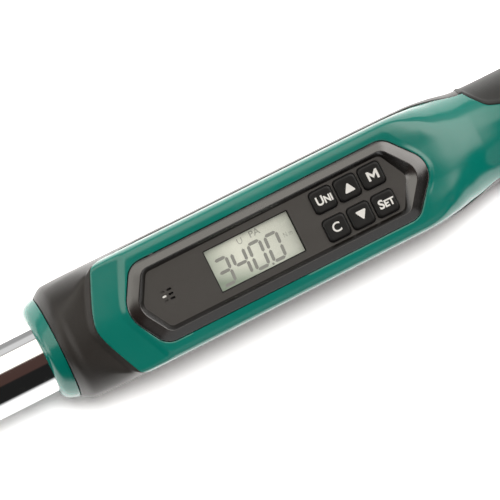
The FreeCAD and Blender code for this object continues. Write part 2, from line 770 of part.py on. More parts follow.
def build_shells():
    """The green cover with its spine, the dark shell under it and the grip's sleeve."""
    stations = sorted(set([k[0] for k in HANDLE] + between(365, 440, 15) + between(495, 600, 15)))
    sleeve_start, cavity_start, cavity_end = float(d.sleeve_start), float(d.cavity_start), float(d.cavity_end)
    skin = loft(HANDLE, stations)
    core = loft(HANDLE, [x for x in stations if x > sleeve_start - 9], float(d.sleeve_thick))
    inside = [x for x in stations if cavity_start + 2 < x < cavity_end - 2]
    cavity = loft(HANDLE, [cavity_start] + inside + [cavity_end], float(d.wall))
    tube_way = Part.makeCylinder(
        float(d.tube_radius) + float(d.tube_gap), 400, Vector(300, 0, 0), Vector(1, 0, 0))
    edge = sleeve_start - 4
    sleeve_zone = half_space(edge, edge + 200, -40, 40).cut(prism(spine_wire(), 0.0, 40))
    sleeve_zone = sleeve_zone.cut(half_space(edge, sleeve_start, -40, 0))
    sleeve = skin.common(sleeve_zone).cut(core)
    hollow = skin.cut(half_space(320, 520, float(d.cover_top), 60)).cut(cavity).cut(tube_way)
    for piece in ribs_and_bosses(cavity, tube_way):
        hollow = hollow.fuse(piece)
    hollow = hollow.cut(sleeve)

    above = prism(round_wire(COVER_FRONT), float(d.seam_height), 40)
    opening = prism(round_wire(grown(PANEL_OUTLINE, 0.5)), 10, 40)
    ledge = prism(round_wire(grown(BEZEL_OUTLINE, 0.08)), d.bezel_seat, 40)
    thread_room = repeated(Part.makeCylinder(1.05, 27.2, Vector(0, 0, -14)), boss_places())
    head_room = repeated(Part.makeCylinder(2.0, 20, Vector(0, 0, -30)), boss_places())
    screw_way = Part.makeCylinder(2.1, 10, Vector(HANDLE_SCREW_AT, 0, -20))
    screw_seat = Part.makeCylinder(3.7, 10, Vector(HANDLE_SCREW_AT, 0, -24.3))
    upper = hollow.common(above).cut(opening).cut(ledge).cut(thread_room)
    lower = hollow.cut(above).cut(thread_room).cut(head_room).cut(screw_way).cut(screw_seat)
    subpart(solid("top_cover", biggest(upper)), "upper_shell")
    subpart(solid("under_cover", biggest(lower)), "lower_shell")
    subpart(solid("rubber", biggest(sleeve)), "grip_sleeve")


def build_handle_fixings():
    """The screws that close the shells and hold them on the tube, and the ring at each end."""
    places = [at(p.Base.x, p.Base.y, CASE_SCREW_HEAD, UNDERNEATH) for p in boss_places()]
    subpart(copies("case_screws", screw(1.9, 1.5, 1.0, 22.4, 0.9), places), "shell_screws")
    place = at(HANDLE_SCREW_AT, 0, -16.4, UNDERNEATH)
    subpart(copies("fixing", screw(3.5, 2.0, 2.0, 4.4, 1.7), [place]), "handle_screw")

    gap = d.tube_radius + d.tube_gap
    start, end = d.ring_start, d.nose_start
    ring = turned("ring_front", "X", [
        (start, gap), (start, 13.6), (start + 0.25, 14.6), (start + 0.9, 15.5), (start + 1.9, 16.15),
        (end - 1.2, 16.95), (end - 0.5, 17.05), (end - 0.1, 16.9), (end - 0.1, gap),
    ])
    subpart(ring, "front_ring")
    rear = d.handle_end + 0.1
    ring = turned("ring_rear", "X", [
        (rear, gap), (rear, 16.3), (rear + 0.5, 16.7), (rear + 3.3, 16.7), (rear + 3.9, 16.1),
        (rear + 3.9, gap),
    ])
    subpart(ring, "end_ring")


def grown(corners, amount):
    """A hexagon's corners moved out by an amount on every side."""
    middle = (corners[0][0] + corners[3][0]) / 2
    moved = []
    for x, y, radius in corners:
        step = amount * (TIP_GROWTH if y == 0 else CORNER_GROWTH)
        side = 0 if y == 0 else math.copysign(amount, y)
        moved.append((x + math.copysign(step, x - middle), y + side, radius + amount))
    return moved


def boss_places():
    return [at(x, side) for x in BOSSES for side in (BOSS_SIDE, -BOSS_SIDE)]


def biggest(shape):
    """A boolean's result without stray slivers."""
    return max(shape.Solids, key=lambda s: s.Volume)


# ---------------------------------------------------------------- display and keys

KEYS = (
    ("key_unit", 0, 1), ("key_up", 1, 1), ("key_memory", 2, 1),
    ("key_clear", 0, -1), ("key_down", 1, -1), ("key_set", 2, -1),
)
BUZZER_AT = 364.5
SLOT_PITCH = 1.5
SLOT_WIDTH = 0.7
SLOT_HOLE = (0.2, 1.9)
SLOT_RECESS = (-1.9, -0.5)
SLOT_DEPTH = 0.5


def key_centre(column, row):
    return d.key_first + d.key_pitch * column, d.key_row * row


def slot_wire(row, span, trim=0.0):
    """The outline of part of one of the buzzer's slots, drawn in by trim."""
    first, last = BUZZER_AT + span[0] + trim, BUZZER_AT + span[1] - trim
    half = SLOT_WIDTH / 2 - trim
    y, radius = row * SLOT_PITCH, half - 0.01
    return round_wire([
        (first, y - half, radius), (last, y - half, radius), (last, y + half, radius), (first, y + half, radius),
    ])


def build_display():
    rim, ridge, seat = float(d.bezel_rim), float(d.bezel_ridge), float(d.bezel_seat)
    panel_top = float(d.panel_top)
    skirt = prism(round_wire(BEZEL_OUTLINE), seat, rim)
    crown = Part.makeLoft([round_wire(BEZEL_OUTLINE, rim), round_wire(RIDGE_OUTLINE, ridge)], True, True)
    well = Part.makeLoft([
        round_wire(OPENING_OUTLINE, panel_top), round_wire(RIDGE_OUTLINE, ridge)], True, True)
    rebate = prism(round_wire(grown(PANEL_OUTLINE, 0.08)), 10, panel_top)
    top = prism(round_wire(RIDGE_OUTLINE), ridge, ridge + 1)
    frame = skirt.fuse(crown).cut(well.fuse(rebate).fuse(top))
    subpart(solid("bezel_frame", biggest(frame)), "bezel")

    low = d.panel_top - d.panel_thick
    blank = solid("panel_blank", prism(round_wire(PANEL_OUTLINE), low, panel_top))
    half_long, half_wide = d.window_length / 2, d.window_width / 2
    window = box("panel_window", (d.window_centre - half_long, -half_wide, 15),
                 (d.window_centre + half_long, half_wide, 25))
    window_soft = rounded("panel_window_soft", window, 0.5, lambda e: e.BoundBox.ZLength > 5)
    hole = d.key_size / 2 + 0.18
    key_holes = []
    for name, column, row in KEYS:
        x, y = key_centre(column, row)
        way = box(name + "_hole", (x - hole, y - hole, 15), (x + hole, y + hole, 25))
        key_holes.append(rounded(name + "_hole_soft", way, 1.5, lambda e: e.BoundBox.ZLength > 5))
    slots = [
        solid(f"buzzer_hole_{row + 1}", prism(slot_wire(row, SLOT_HOLE), 15, 25)) for row in (-1, 0, 1)
    ]
    slots += [
        solid(f"buzzer_recess_{row + 1}", prism(slot_wire(row, SLOT_RECESS), panel_top - SLOT_DEPTH, 25))
        for row in (-1, 1)
    ]
    slots.append(solid("indicator_way", prism(slot_wire(0, SLOT_RECESS), 15, 25)))
    posts = copies("board_posts", Part.makeCylinder(2.0, float(low - d.board_top) + 0.3), [
        at(x, y, d.board_top) for x, y in board_corners()])
    post_holes = copies("board_post_holes", Part.makeCylinder(0.85, 3.5), [
        at(x, y, d.board_top - 0.2) for x, y in board_corners()])
    panel = cut("panel", fuse("panel_with_posts", blank, posts), window_soft, *key_holes, *slots, post_holes)
    subpart(panel, "control_panel")
    light = solid("indicator_stem", prism(slot_wire(0, SLOT_RECESS, 0.03), low - 0.3, d.panel_top - 0.1))
    flange = box("indicator_flange", (BUZZER_AT - 2.2, -0.8, low - 0.35), (BUZZER_AT - 0.2, 0.8, low - 0.05))
    subpart(fuse("indicator", light, flange), "indicator_lens")

    lens = box("lens", (d.window_centre - half_long - 1.2, -half_wide - 1.2, low - 0.85),
               (d.window_centre + half_long + 1.2, half_wide + 1.2, low - 0.05))
    subpart(lens, "display_window")
    glass_top = low - 0.95
    glass = box("lcd_glass", (d.window_centre - 16.4, -9.3, d.board_top + 0.7),
                (d.window_centre + 16.4, 9.3, glass_top))
    subpart(glass, "lcd_module")
    outer = box("holder_outer", (d.window_centre - 17.6, -10.5, d.board_top + 0.05),
                (d.window_centre + 17.6, 10.5, glass_top - 0.5))
    inner = box("holder_inner", (d.window_centre - 16.45, -9.35, d.board_top + 0.65),
                (d.window_centre + 16.45, 9.35, 30))
    subpart(cut("holder", outer, inner), "lcd_holder")


def board_corners():
    near, far = float(d.board_start) + 3.6, float(d.board_end) - 5.1
    return [(near, 8.6), (near, -8.6), (far, 8.2), (far, -8.2)]


def build_keys():
    top = d.panel_top + d.key_height
    low = d.panel_top - d.panel_thick
    for name, column, row in KEYS:
        x, y = key_centre(column, row)
        half = d.key_size / 2
        cap = box(name + "_block", (x - half, y - half, low - 0.3), (x + half, y + half, top))
        cap = rounded(name + "_sides", cap, 1.4, lambda e: e.BoundBox.ZLength > 1.5)
        cap = rounded(name + "_crown", cap, 0.45, lambda e, z=float(top): e.BoundBox.ZMin > z - 0.01)
        flange = box(name + "_flange", (x - 4.15, y - 4.5, low - 0.95), (x + 4.15, y + 4.5, low - 0.2))
        foot = cylinder(name + "_foot", 1.9, 1.2, x=x, y=y, z=low - 1.95)
        subpart(fuse(name + "_cap", cap, flange, foot), name)
    holes = [
        cylinder(name + "_mat_hole", 2.3, 5, x=key_centre(c, r)[0], y=key_centre(c, r)[1], z=16)
        for name, c, r in KEYS
    ]
    sheet_low = d.board_top + 0.95
    mat = box("mat_sheet", (d.key_first - 5.4, -10.2, sheet_low),
              (d.key_first + d.key_pitch * 2 + 4.0, 10.2, sheet_low + 0.6))
    subpart(cut("mat", mat, *holes), "keypad_mat")


def build_electronics():
    thick = d.board_thick
    low = d.board_top - thick
    slab = plate("board_slab", [
        (d.board_start, -9.5), (d.board_start + 4, -d.board_half), (d.board_end - 7, -d.board_half),
        (d.board_end, -4.5), (d.board_end, 4.5), (d.board_end - 7, d.board_half),
        (d.board_start + 4, d.board_half), (d.board_start, 9.5),
    ], low, thick)
    holes = copies("board_holes", Part.makeCylinder(0.95, 4), [at(x, y, low - 1) for x, y in board_corners()])
    notches = copies("board_notches", Part.makeCylinder(2.6, 4), [
        at(p.Base.x, p.Base.y, low - 1) for p in boss_places()])
    subpart(cut("board", slab, holes, notches), "circuit_board")
    under = float(low)
    chips = [
        Part.makeBox(9, 9, 1.4, Vector(382, -4.5, under - 1.4)),
        Part.makeBox(6, 5, 1.2, Vector(400, -2.5, under - 1.2)),
        Part.makeBox(8, 3.4, 1.3, Vector(411, -1.7, under - 1.3)),
        Part.makeBox(5, 6, 1.9, Vector(362.5, -3, under - 1.9)),
        Part.makeBox(4, 5, 1.9, Vector(440, -2.5, under - 1.9)),
        Part.makeCylinder(1.5, 6, Vector(374, 8, under - 1.5), Vector(1, 0, 0)),
    ]
    subpart(solid("chips", Part.makeCompound(chips)), "board_components")
    subpart(copies("board_fixings", screw(1.6, 1.0, 0.8, 4.0, 0.7), [
        at(x, y, under - 1.0, UNDERNEATH) for x, y in board_corners()]), "board_screws")
    button = Part.makeBox(4.6, 4.6, 0.55, Vector(-2.3, -2.3, 0)).fuse(Part.makeCylinder(1.4, 0.75))
    subpart(copies("switches", button.removeSplitter(), [
        at(*key_centre(c, r), d.board_top) for _, c, r in KEYS]), "key_switches")
    can = turned("sounder", "Z", [
        (0, 0), (0, 4.9), (2.4, 4.9), (2.9, 4.4), (2.9, 1.0), (2.2, 1.0), (2.2, 0),
    ])
    subpart(put(can, x=BUZZER_AT, z=d.board_top), "buzzer")


# ---------------------------------------------------------------- power

CELLS = 3
CAP_FLUTES = 12
CAP_FLUTE_REACH = 16.4


def build_power():
    end = d.first_cell + d.cell_length * CELLS
    nub = 1.0
    radius, can = float(d.cell_radius), float(d.cell_length) - 0.1
    profile = [
        (0, 0), (0, 2.7), (nub, 2.7), (nub, radius - 0.5), (nub + 0.5, radius), (can - 0.4, radius),
        (can, radius - 0.4), (can, 0),
    ]
    cell = Part.Face(Part.makePolygon([Vector(x, r, 0) for x, r in profile + profile[:1]]))
    cell = cell.revolve(Vector(0, 0, 0), Vector(1, 0, 0), 360)
    pitch = float(d.cell_length)
    subpart(copies("cells", cell, [at(float(d.first_cell) + k * pitch) for k in range(CELLS)]), "batteries")
    subpart(turned("cell_liner", "X", [
        (d.first_cell - 0.8, 7.6), (d.first_cell - 0.8, 9.4), (end - 0.5, 9.4), (end - 0.5, 7.6),
    ]), "battery_sleeve")
    subpart(turned("plus_holder", "X", [
        (444, 1.1), (444, 9.4), (449.9, 9.4), (449.9, 6.6), (449.0, 6.6), (449.0, 1.1),
    ]), "contact_holder")
    subpart(turned("plus_plate", "X", [
        (449.1, 0), (449.1, 6.4), (449.7, 6.4), (449.7, 2.4), (450.9, 1.8), (450.9, 0),
    ]), "positive_contact")
    stops = [Vector(449.0, 0, 0), Vector(432.5, 0, 0), Vector(432.5, 0, 14.95)]
    subpart(solid("supply_lead", swept(stops, 0.9)), "power_leads")

    face, back = d.cap_face, d.cap_end
    spigot, bore = d.cap_spigot, d.cap_bore
    blank = turned("cap_blank", "X", [
        (604, bore), (604, spigot - 0.5), (604.5, spigot), (610.2, spigot), (610.2, 8.0), (612.0, 8.0),
        (612.0, spigot), (face, spigot), (face, d.cap_radius - 0.5), (face + 0.6, d.cap_radius),
        (back - 5, d.cap_radius), (back - 2, d.cap_radius - 1.2), (back - 0.6, d.cap_radius - 3.6),
        (back, d.cap_radius - 5.5), (back, 0), (617, 0), (617, bore),
    ])
    turns = [2 * math.pi * k / CAP_FLUTES for k in range(CAP_FLUTES)]
    flutes = [
        cylinder(f"cap_flute_{k}", 1.6, 30, x=face + 2.2, y=CAP_FLUTE_REACH * math.cos(turn),
                 z=CAP_FLUTE_REACH * math.sin(turn), turn=ALONG_X)
        for k, turn in enumerate(turns)
    ]
    coin_slot = box("coin_slot", (back - 2.2, -8.5, -1.1), (back + 5, 8.5, 1.1))
    subpart(cut("cap", blank, coin_slot, *flutes), "battery_cap")
    seal = doc.addObject("Part::Torus", "seal_ring")
    bind(seal, Radius1=8.72, Radius2=0.7)
    subpart(put(seal, x=611.1, turn=ALONG_X), "cap_seal")
    subpart(turned("minus_plate", "X", [(615.9, 0), (615.9, 7.1), (616.7, 7.1), (616.7, 0)]), "cap_contact")
    spring = coil((6.0, 3.6), 0.8, 11.8, 5)
    spring.rotate(Vector(0, 0, 0), Vector(0, 1, 0), -90)
    spring.translate(Vector(615.4, 0, 0))
    subpart(solid("minus_coil", spring), "cap_spring")


# ---------------------------------------------------------------- build


def check(obj):
    """Stops the script if a piece failed, is empty or isn't valid."""
    bad = [state for state in obj.State if state in ("Invalid", "Error")]
    if bad or obj.Shape.isNull() or not obj.Shape.isValid() or not obj.Shape.Solids:
        raise RuntimeError(f"{obj.Label} failed: {bad or 'its shape is empty or not valid'}")


def main():
    build_head()
    build_drive()
    build_reverser()
    build_tube()
    build_shells()
    build_handle_fixings()
    build_display()
    build_keys()
    build_electronics()
    build_power()
    doc.recompute()
    for obj in doc.Objects:
        if any(state in ("Invalid", "Error") for state in obj.State):
            raise RuntimeError(f"{obj.Name} failed: {obj.State}")
    os.makedirs("parts", exist_ok=True)
    for obj in SUBPARTS:
        check(obj)
        obj.Shape.exportStep(f"parts/{obj.Label}.step")
        print(f"{obj.Label:18s} {len(obj.Shape.Solids)} solids, {obj.Shape.Volume:10.1f} mm3")


main()
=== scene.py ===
"""Looks of the digital torque wrench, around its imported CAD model.

Lengths are in millimetres about the tube's axis, which runs along X, until mesh_piece() lifts them
into the frame and turns them to metres. The cover, the lower shell and the sleeve are one skin,
worked out as a formula and cut along the joints between them.
"""

import json
import math

import bpy
import numpy as np
from mathutils import Matrix, Vector


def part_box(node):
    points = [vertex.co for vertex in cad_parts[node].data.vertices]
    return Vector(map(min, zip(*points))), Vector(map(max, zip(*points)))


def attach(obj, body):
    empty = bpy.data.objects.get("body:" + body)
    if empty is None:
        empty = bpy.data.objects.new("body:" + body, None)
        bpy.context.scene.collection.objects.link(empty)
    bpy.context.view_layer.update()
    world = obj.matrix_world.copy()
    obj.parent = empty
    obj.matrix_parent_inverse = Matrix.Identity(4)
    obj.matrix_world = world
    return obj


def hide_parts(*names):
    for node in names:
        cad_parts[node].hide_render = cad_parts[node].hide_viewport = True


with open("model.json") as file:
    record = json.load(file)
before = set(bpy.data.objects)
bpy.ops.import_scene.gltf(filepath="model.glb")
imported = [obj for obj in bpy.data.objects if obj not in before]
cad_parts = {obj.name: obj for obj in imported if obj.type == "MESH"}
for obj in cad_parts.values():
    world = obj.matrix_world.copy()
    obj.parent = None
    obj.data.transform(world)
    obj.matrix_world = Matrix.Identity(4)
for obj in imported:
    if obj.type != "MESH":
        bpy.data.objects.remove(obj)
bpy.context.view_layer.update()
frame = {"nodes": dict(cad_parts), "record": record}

MM = 0.001
AXIS_HEIGHT = (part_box("tube")[0][2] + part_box("tube")[1][2]) / 2 / MM
FINE = 1.0

# ---------------------------------------------------------------- sizes of the skin

# The joint between the two shells, above the axis.
SEAM = 9.0
# x, half width, top, bottom, power above, power below
HANDLE = (
    (327.4, 17.1, 17.1, 17.1, 2.0, 2.0),
    (331.3, 19.3, 19.2, 17.9, 2.5, 2.2),
    (338.0, 19.4, 20.2, 17.6, 3.8, 2.4),
    (350.0, 19.3, 22.4, 17.4, 9.0, 2.7),
    (362.0, 19.2, 22.3, 17.2, 12.0, 2.8),
    (446.0, 18.75, 22.3, 17.0, 12.0, 2.8),
    (458.0, 18.5, 21.6, 16.9, 4.8, 2.7),
    (466.0, 17.6, 19.9, 16.6, 3.0, 2.5),
    (475.0, 16.0, 17.5, 16.1, 2.5, 2.3),
    (486.0, 15.8, 16.5, 15.9, 2.3, 2.2),
    (540.0, 16.2, 16.4, 16.7, 2.2, 2.2),
    (590.0, 16.6, 16.6, 16.4, 2.1, 2.1),
    (609.0, 16.4, 16.4, 16.4, 2.0, 2.0),
)
HANDLE_START, HANDLE_END = HANDLE[0][0], HANDLE[-1][0]

# The skin's grid: steps along the handle, and points round each section.
CLOSE_END, CLOSE_STEP, FAR_STEP = 492, 0.36, 1.1
TOP_SHARES = (0.235, 0.765)
SIDE_POINTS, TOP_POINTS = 44, 190
SECTION_SAMPLES = 1441

# The console's front and rear edges are V-shaped. Each lean is between the middle line and the edge.
FRONT_LEAN = math.radians(65)
REAR_LEAN = math.radians(54)
BEZEL_FRONT, BEZEL_REAR = 351.0, 455.2
FRONT_SOFTNESS, REAR_SOFTNESS, COVER_SOFTNESS = 3.0, 3.5, 4.5

# The cover's front edge, and how it sweeps back below a height.
COVER_TIP = 339.2
SWEEP, SWEEP_TOP, SWEEP_DEPTH = 10.5, 21.3, 9.3
SWEEP_POWER, SWEEP_LIMIT = 1.8, 1.5

# The console's top: a level middle, a narrow ramp down before and behind it, and a long slope beyond.
# The rear ramp fades out towards the sides.
PLATEAU = 21.95
RIM_WIDTH, RIM_RISE = 2.0, 1.0
REAR_RIM_WIDTH, REAR_RIM_RISE = 1.5, 0.6
RIM_FADE = (5, 12)
BAND_SLOPE = 0.14
CONSOLE_LOW, CONSOLE_CREASE = 8, 0.9
CONSOLE_BEGINS, CONSOLE_ENDS = (326, 333), (466, 476)

# The step down from the cover to the nose, and the lower shell's inset beside the cover.
STEP_WIDTH, STEP_RISE, STEP_EASE = 2.1, 0.9, 0.15
STEP_BEGINS, STEP_HEIGHTS = (329, 333), (9, 18)
INSET, INSET_ENDS = 0.4, (462, 473)
INSET_EDGE, INSET_SEAM = (-0.2, 0.4), (SEAM - 0.3, SEAM + 0.1)

# The sleeve: the cover's spine runs back between its top edges. It has a raised lip and ribs.
SLEEVE_START = 475.5
# x, half width
SPINE_EDGE = (
    (471.5, 19.0), (474.5, 17.5), (478.0, 12.2), (482.0, 7.8), (489.0, 5.8), (500.0, 5.5),
    (580.0, 5.0), (587.0, 3.6), (590.0, 0.0),
)
LIP_HEIGHT, LIP_PLACE, LIP_WIDTH, LIP_EDGE = 0.35, 0.8, 0.7, (-0.1, 0.2)
RIB_PHASE, RIB_PITCH, RIB_DEPTH = 500, 7.5, 0.55
RIB_WAVE, RIB_MARGIN, RIB_HEIGHTS = (0.55, 0.95), (1.5, 4.0), (2.0, -3.0)
RIBS_BEGIN, RIBS_END = (497, 500), (596, 599)

# Where the skin is cut: half the gap at a joint, the gap round the bezel, and the turned-in wall.
PART_GAP = 0.04
BEZEL_GAP = 0.22
SKIRT, EDGE_EASE = 1.3, 0.1

SCREW_HEAD_RADIUS = 1.9
WELL_RADIUS, WELL_INSET, WELL_FLOOR, WELL_POINTS = 2.4, 0.3, -10.2, 40

# Edges sharper than these angles, in degrees, stay sharp.
SHARP, TURNED_SHARP, SKIN_SHARP = 40, 35, 50


# ---------------------------------------------------------------- meshes


def smoothstep(low, high, value):
    t = np.clip((value - low) / (high - low), 0, 1)
    return t * t * (3 - 2 * t)


def smooth_min(a, b, reach):
    t = np.clip(0.5 + 0.5 * (b - a) / reach, 0, 1)
    return b * (1 - t) + a * t - reach * t * (1 - t)


def mesh_piece(name, points, faces, body, sharp=SHARP):
    """A piece from points in millimetres about the tube's axis."""
    mesh = bpy.data.meshes.new(name)
    lifted = (np.asarray(points, dtype=float) + (0, 0, AXIS_HEIGHT)) * MM
    mesh.from_pydata(lifted.tolist(), [], faces)
    mesh.update()
    return dress(name, mesh, body, sharp)


def dress(name, mesh, body, sharp=SHARP):
    """Makes a mesh an object that rides on a body, smooth up to an angle in degrees."""
    mesh.shade_smooth()
    mesh.set_sharp_from_angle(angle=math.radians(sharp))
    obj = bpy.data.objects.new(name, mesh)
    bpy.context.scene.collection.objects.link(obj)
    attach(obj, body)
    return obj


def monotone(x, knots, column):
    """A smooth value at each x through a column of the knots, with no overshoot between them."""
    xs = np.array([k[0] for k in knots])
    ys = np.array([k[column] for k in knots])
    steps = np.diff(ys) / np.diff(xs)
    before, after = steps[:-1], steps[1:]
    inner = np.where(before * after <= 0, 0, 2 * before * after / (before + after + 1e-12))
    slopes = np.concatenate(([steps[0]], inner, [steps[-1]]))
    x = np.clip(x, xs[0], xs[-1])
    i = np.clip(np.searchsorted(xs, x, side="right") - 1, 0, len(xs) - 2)
    span = xs[i + 1] - xs[i]
    t = (x - xs[i]) / span
    return (
        ys[i] * (2 * t**3 - 3 * t**2 + 1)
        + ys[i + 1] * (3 * t**2 - 2 * t**3)
        + slopes[i] * span * (t**3 - 2 * t**2 + t)
        + slopes[i + 1] * span * (t**3 - t**2)
    )


def ring_faces(count, rings):
    """Quads between neighbouring rings of points."""
    faces = []
    for r in range(rings - 1):
        a, b = r * count, (r + 1) * count
        for i in range(count):
            k = (i + 1) % count
            faces.append((a + i, a + k, b + k, b + i))
    return faces


def lathe(name, profile, body, segments):
    """A piece turned about the tube's axis from (x, radius) points."""
    segments = int(segments / FINE)
    rings = []
    for x, radius in profile:
        for i in range(segments):
            angle = 2 * math.pi * i / segments
            rings.append((x, radius * math.cos(angle), radius * math.sin(angle)))
    faces = ring_faces(segments, len(profile))
    return mesh_piece(name, rings, faces, body, TURNED_SHARP)


def corner_arc(before, here, after, radius, steps):
    """Points of the arc that rounds one corner of a polygon."""
    back, on = before - here, after - here
    back, on = back / np.linalg.norm(back), on / np.linalg.norm(on)
    half = math.acos(np.clip(back @ on, -1, 1)) / 2
    centre = here + (back + on) / np.linalg.norm(back + on) * radius / math.sin(half)
    first = here + back * radius / math.tan(half) - centre
    last = here + on * radius / math.tan(half) - centre
    start = math.atan2(first[1], first[0])
    sweep = (math.atan2(last[1], last[0]) - start + math.pi) % (2 * math.pi) - math.pi
    return [
        centre + radius * np.array((math.cos(start + sweep * t), math.sin(start + sweep * t)))
        for t in np.linspace(0, 1, steps)
    ]


def rounded_outline(corners, arc_steps=10, side_steps=6):
    """Points round a polygon of (x, y, radius) corners, the same number for every radius."""
    places = [np.array(corner[:2]) for corner in corners]
    count = len(corners)
    arcs = [
        corner_arc(places[i - 1], places[i], places[(i + 1) % count], corners[i][2], arc_steps)
        for i in range(count)
    ]
    points = []
    for i, arc in enumerate(arcs):
        points += arc
        after = arcs[(i + 1) % count][0]
        points += [arc[-1] + (after - arc[-1]) * t for t in np.linspace(0, 1, side_steps + 2)[1:-1]]
    return np.array(points)


def mixed(first, second, share):
    """Corners part of the way from one outline to another."""
    return [tuple(a + (b - a) * share for a, b in zip(one, two)) for one, two in zip(first, second)]


def loft_piece(name, levels, body, arc_steps, side_steps, capped=False):
    """A piece through (corners, height) levels, closed over its last level if capped."""
    points = []
    for corners, height in levels:
        outline = rounded_outline(corners, arc_steps, side_steps)
        points += [(x, y, height) for x, y in outline]
    count = len(points) // len(levels)
    faces = ring_faces(count, len(levels))
    if capped:
        top = len(points)
        last = np.array(points[-count:])
        points.append(tuple(last.mean(axis=0)))
        faces += [(top - count + i, top - count + (i + 1) % count, top) for i in range(count)]
    return mesh_piece(name, points, faces, body)


# ---------------------------------------------------------------- the handle's skin


def section_radius(x, angle):
    """The skin's distance from the axis at stations x and angles up from +Y."""
    width, top, bottom, above, below = (monotone(x, HANDLE, k) for k in range(1, 6))
    across, up = np.abs(np.cos(angle)), np.sin(angle)
    height = np.where(up >= 0, top, bottom)
    power = np.where(up >= 0, above, below)
    return ((across / width) ** power + (np.abs(up) / height) ** power) ** (-1 / power)


def skin_stations():
    """Stations along the handle, close together where the console is."""
    front = np.arange(HANDLE_START, CLOSE_END, CLOSE_STEP * FINE)
    back = np.arange(front[-1] + FAR_STEP * FINE, HANDLE_END, FAR_STEP * FINE)
    return np.concatenate((front, back, [HANDLE_END]))


def skin_shares():
    """Places round the section, as shares of its length from the bottom, close together on top."""
    low, high = TOP_SHARES
    side, top = int(SIDE_POINTS / FINE), int(TOP_POINTS / FINE)
    return np.concatenate((
        np.linspace(0, low, side, endpoint=False),
        np.linspace(low, high, top, endpoint=False),
        np.linspace(high, 1, side, endpoint=False),
    ))


def base_skin(stations, shares):
    """The plain skin as a grid of points, spaced round each section by its length."""
    turn = np.linspace(-math.pi / 2, 1.5 * math.pi, SECTION_SAMPLES)
    radius = section_radius(stations[:, None], turn[None, :])
    y, z = radius * np.cos(turn), radius * np.sin(turn)
    steps = np.hypot(np.diff(y, axis=1), np.diff(z, axis=1))
    length = np.concatenate((np.zeros((len(stations), 1)), np.cumsum(steps, axis=1)), axis=1)
    grid = np.empty((len(stations), len(shares), 3))
    for i, x in enumerate(stations):
        wanted = shares * length[i, -1]
        grid[i, :, 0] = x
        grid[i, :, 1] = np.interp(wanted, length[i], y[i])
        grid[i, :, 2] = np.interp(wanted, length[i], z[i])
    return grid


def softened(y, reach):
    """The distance from the middle line, rounded where it would turn sharply."""
    return np.sqrt(y * y + reach * reach) - reach


def ahead_of_bezel(x, y):
    side = softened(y, FRONT_SOFTNESS)
    return (BEZEL_FRONT - x) * math.sin(FRONT_LEAN) + side * math.cos(FRONT_LEAN)


def behind_bezel(x, y):
    side = softened(y, REAR_SOFTNESS)
    return (x - BEZEL_REAR) * math.sin(REAR_LEAN) + side * math.cos(REAR_LEAN)


def inside_cover(x, y, z):
    """How far a point is behind the cover's V-shaped front edge, which sweeps back down the sides."""
    swept = SWEEP * np.clip((SWEEP_TOP - z) / SWEEP_DEPTH, 0, SWEEP_LIMIT) ** SWEEP_POWER
    side = softened(y, COVER_SOFTNESS)
    return (x - COVER_TIP) * math.sin(FRONT_LEAN) - side * math.cos(FRONT_LEAN) - swept


def in_sleeve(x, y, z):
    """How far a point is inside the rubber sleeve's edges."""
    spine_half = monotone(x, SPINE_EDGE, 1)
    return np.minimum(x - SLEEVE_START, np.maximum(np.abs(y) - spine_half, SEAM - z))


def plateau(x, y):
    """The height that the console's faceted top is cut down to."""
    front, rear = ahead_of_bezel(x, y), behind_bezel(x, y)
    middle = 1 - smoothstep(*RIM_FADE, np.abs(y))
    fall = RIM_RISE * np.clip(front / RIM_WIDTH, 0, 1)
    fall = fall + REAR_RIM_RISE * middle * np.clip(rear / REAR_RIM_WIDTH, 0, 1)
    slopes = np.maximum(front - RIM_WIDTH, 0) + np.maximum(rear - REAR_RIM_WIDTH, 0)
    return PLATEAU - (fall + BAND_SLOPE * slopes)


def grid_normals(grid):
    along = np.gradient(grid, axis=0)
    wrapped = np.concatenate((grid[:, -1:], grid, grid[:, :1]), axis=1)
    around = (wrapped[:, 2:] - wrapped[:, :-2]) / 2
    normal = np.cross(around, along)
    return normal / np.linalg.norm(normal, axis=2, keepdims=True)


def sleeve_ribs(x, z):
    """Shallow grooves round the back of the grip, where the fingers close."""
    wave = np.cos((x - RIB_PHASE) * 2 * math.pi / RIB_PITCH)
    cut = smoothstep(*RIB_WAVE, wave) * smoothstep(*RIBS_BEGIN, x) * (1 - smoothstep(*RIBS_END, x))
    return -RIB_DEPTH * cut * smoothstep(*RIB_HEIGHTS, z)


def skin_relief(x, y, z):
    """How far the skin moves along its normal: the step, the inset, the sleeve's lip and its ribs."""
    cover, sleeve = inside_cover(x, y, z), in_sleeve(x, y, z)
    on_top = smoothstep(*STEP_HEIGHTS, z)
    ramp = np.clip(-(cover + STEP_EASE) / (STEP_WIDTH - STEP_EASE), 0, 1)
    drop = -STEP_RISE * on_top * ramp * smoothstep(*STEP_BEGINS, x)
    beside = (1 - on_top) * smoothstep(*INSET_EDGE, cover) * smoothstep(*INSET_SEAM, z)
    inset = -INSET * beside * (1 - smoothstep(*INSET_ENDS, x))
    bulge = np.exp(-((sleeve - LIP_PLACE) / LIP_WIDTH) ** 2)
    lip = LIP_HEIGHT * bulge * smoothstep(*LIP_EDGE, sleeve)
    ribs = sleeve_ribs(x, z) * smoothstep(*RIB_MARGIN, sleeve)
    return drop + inset + lip + ribs


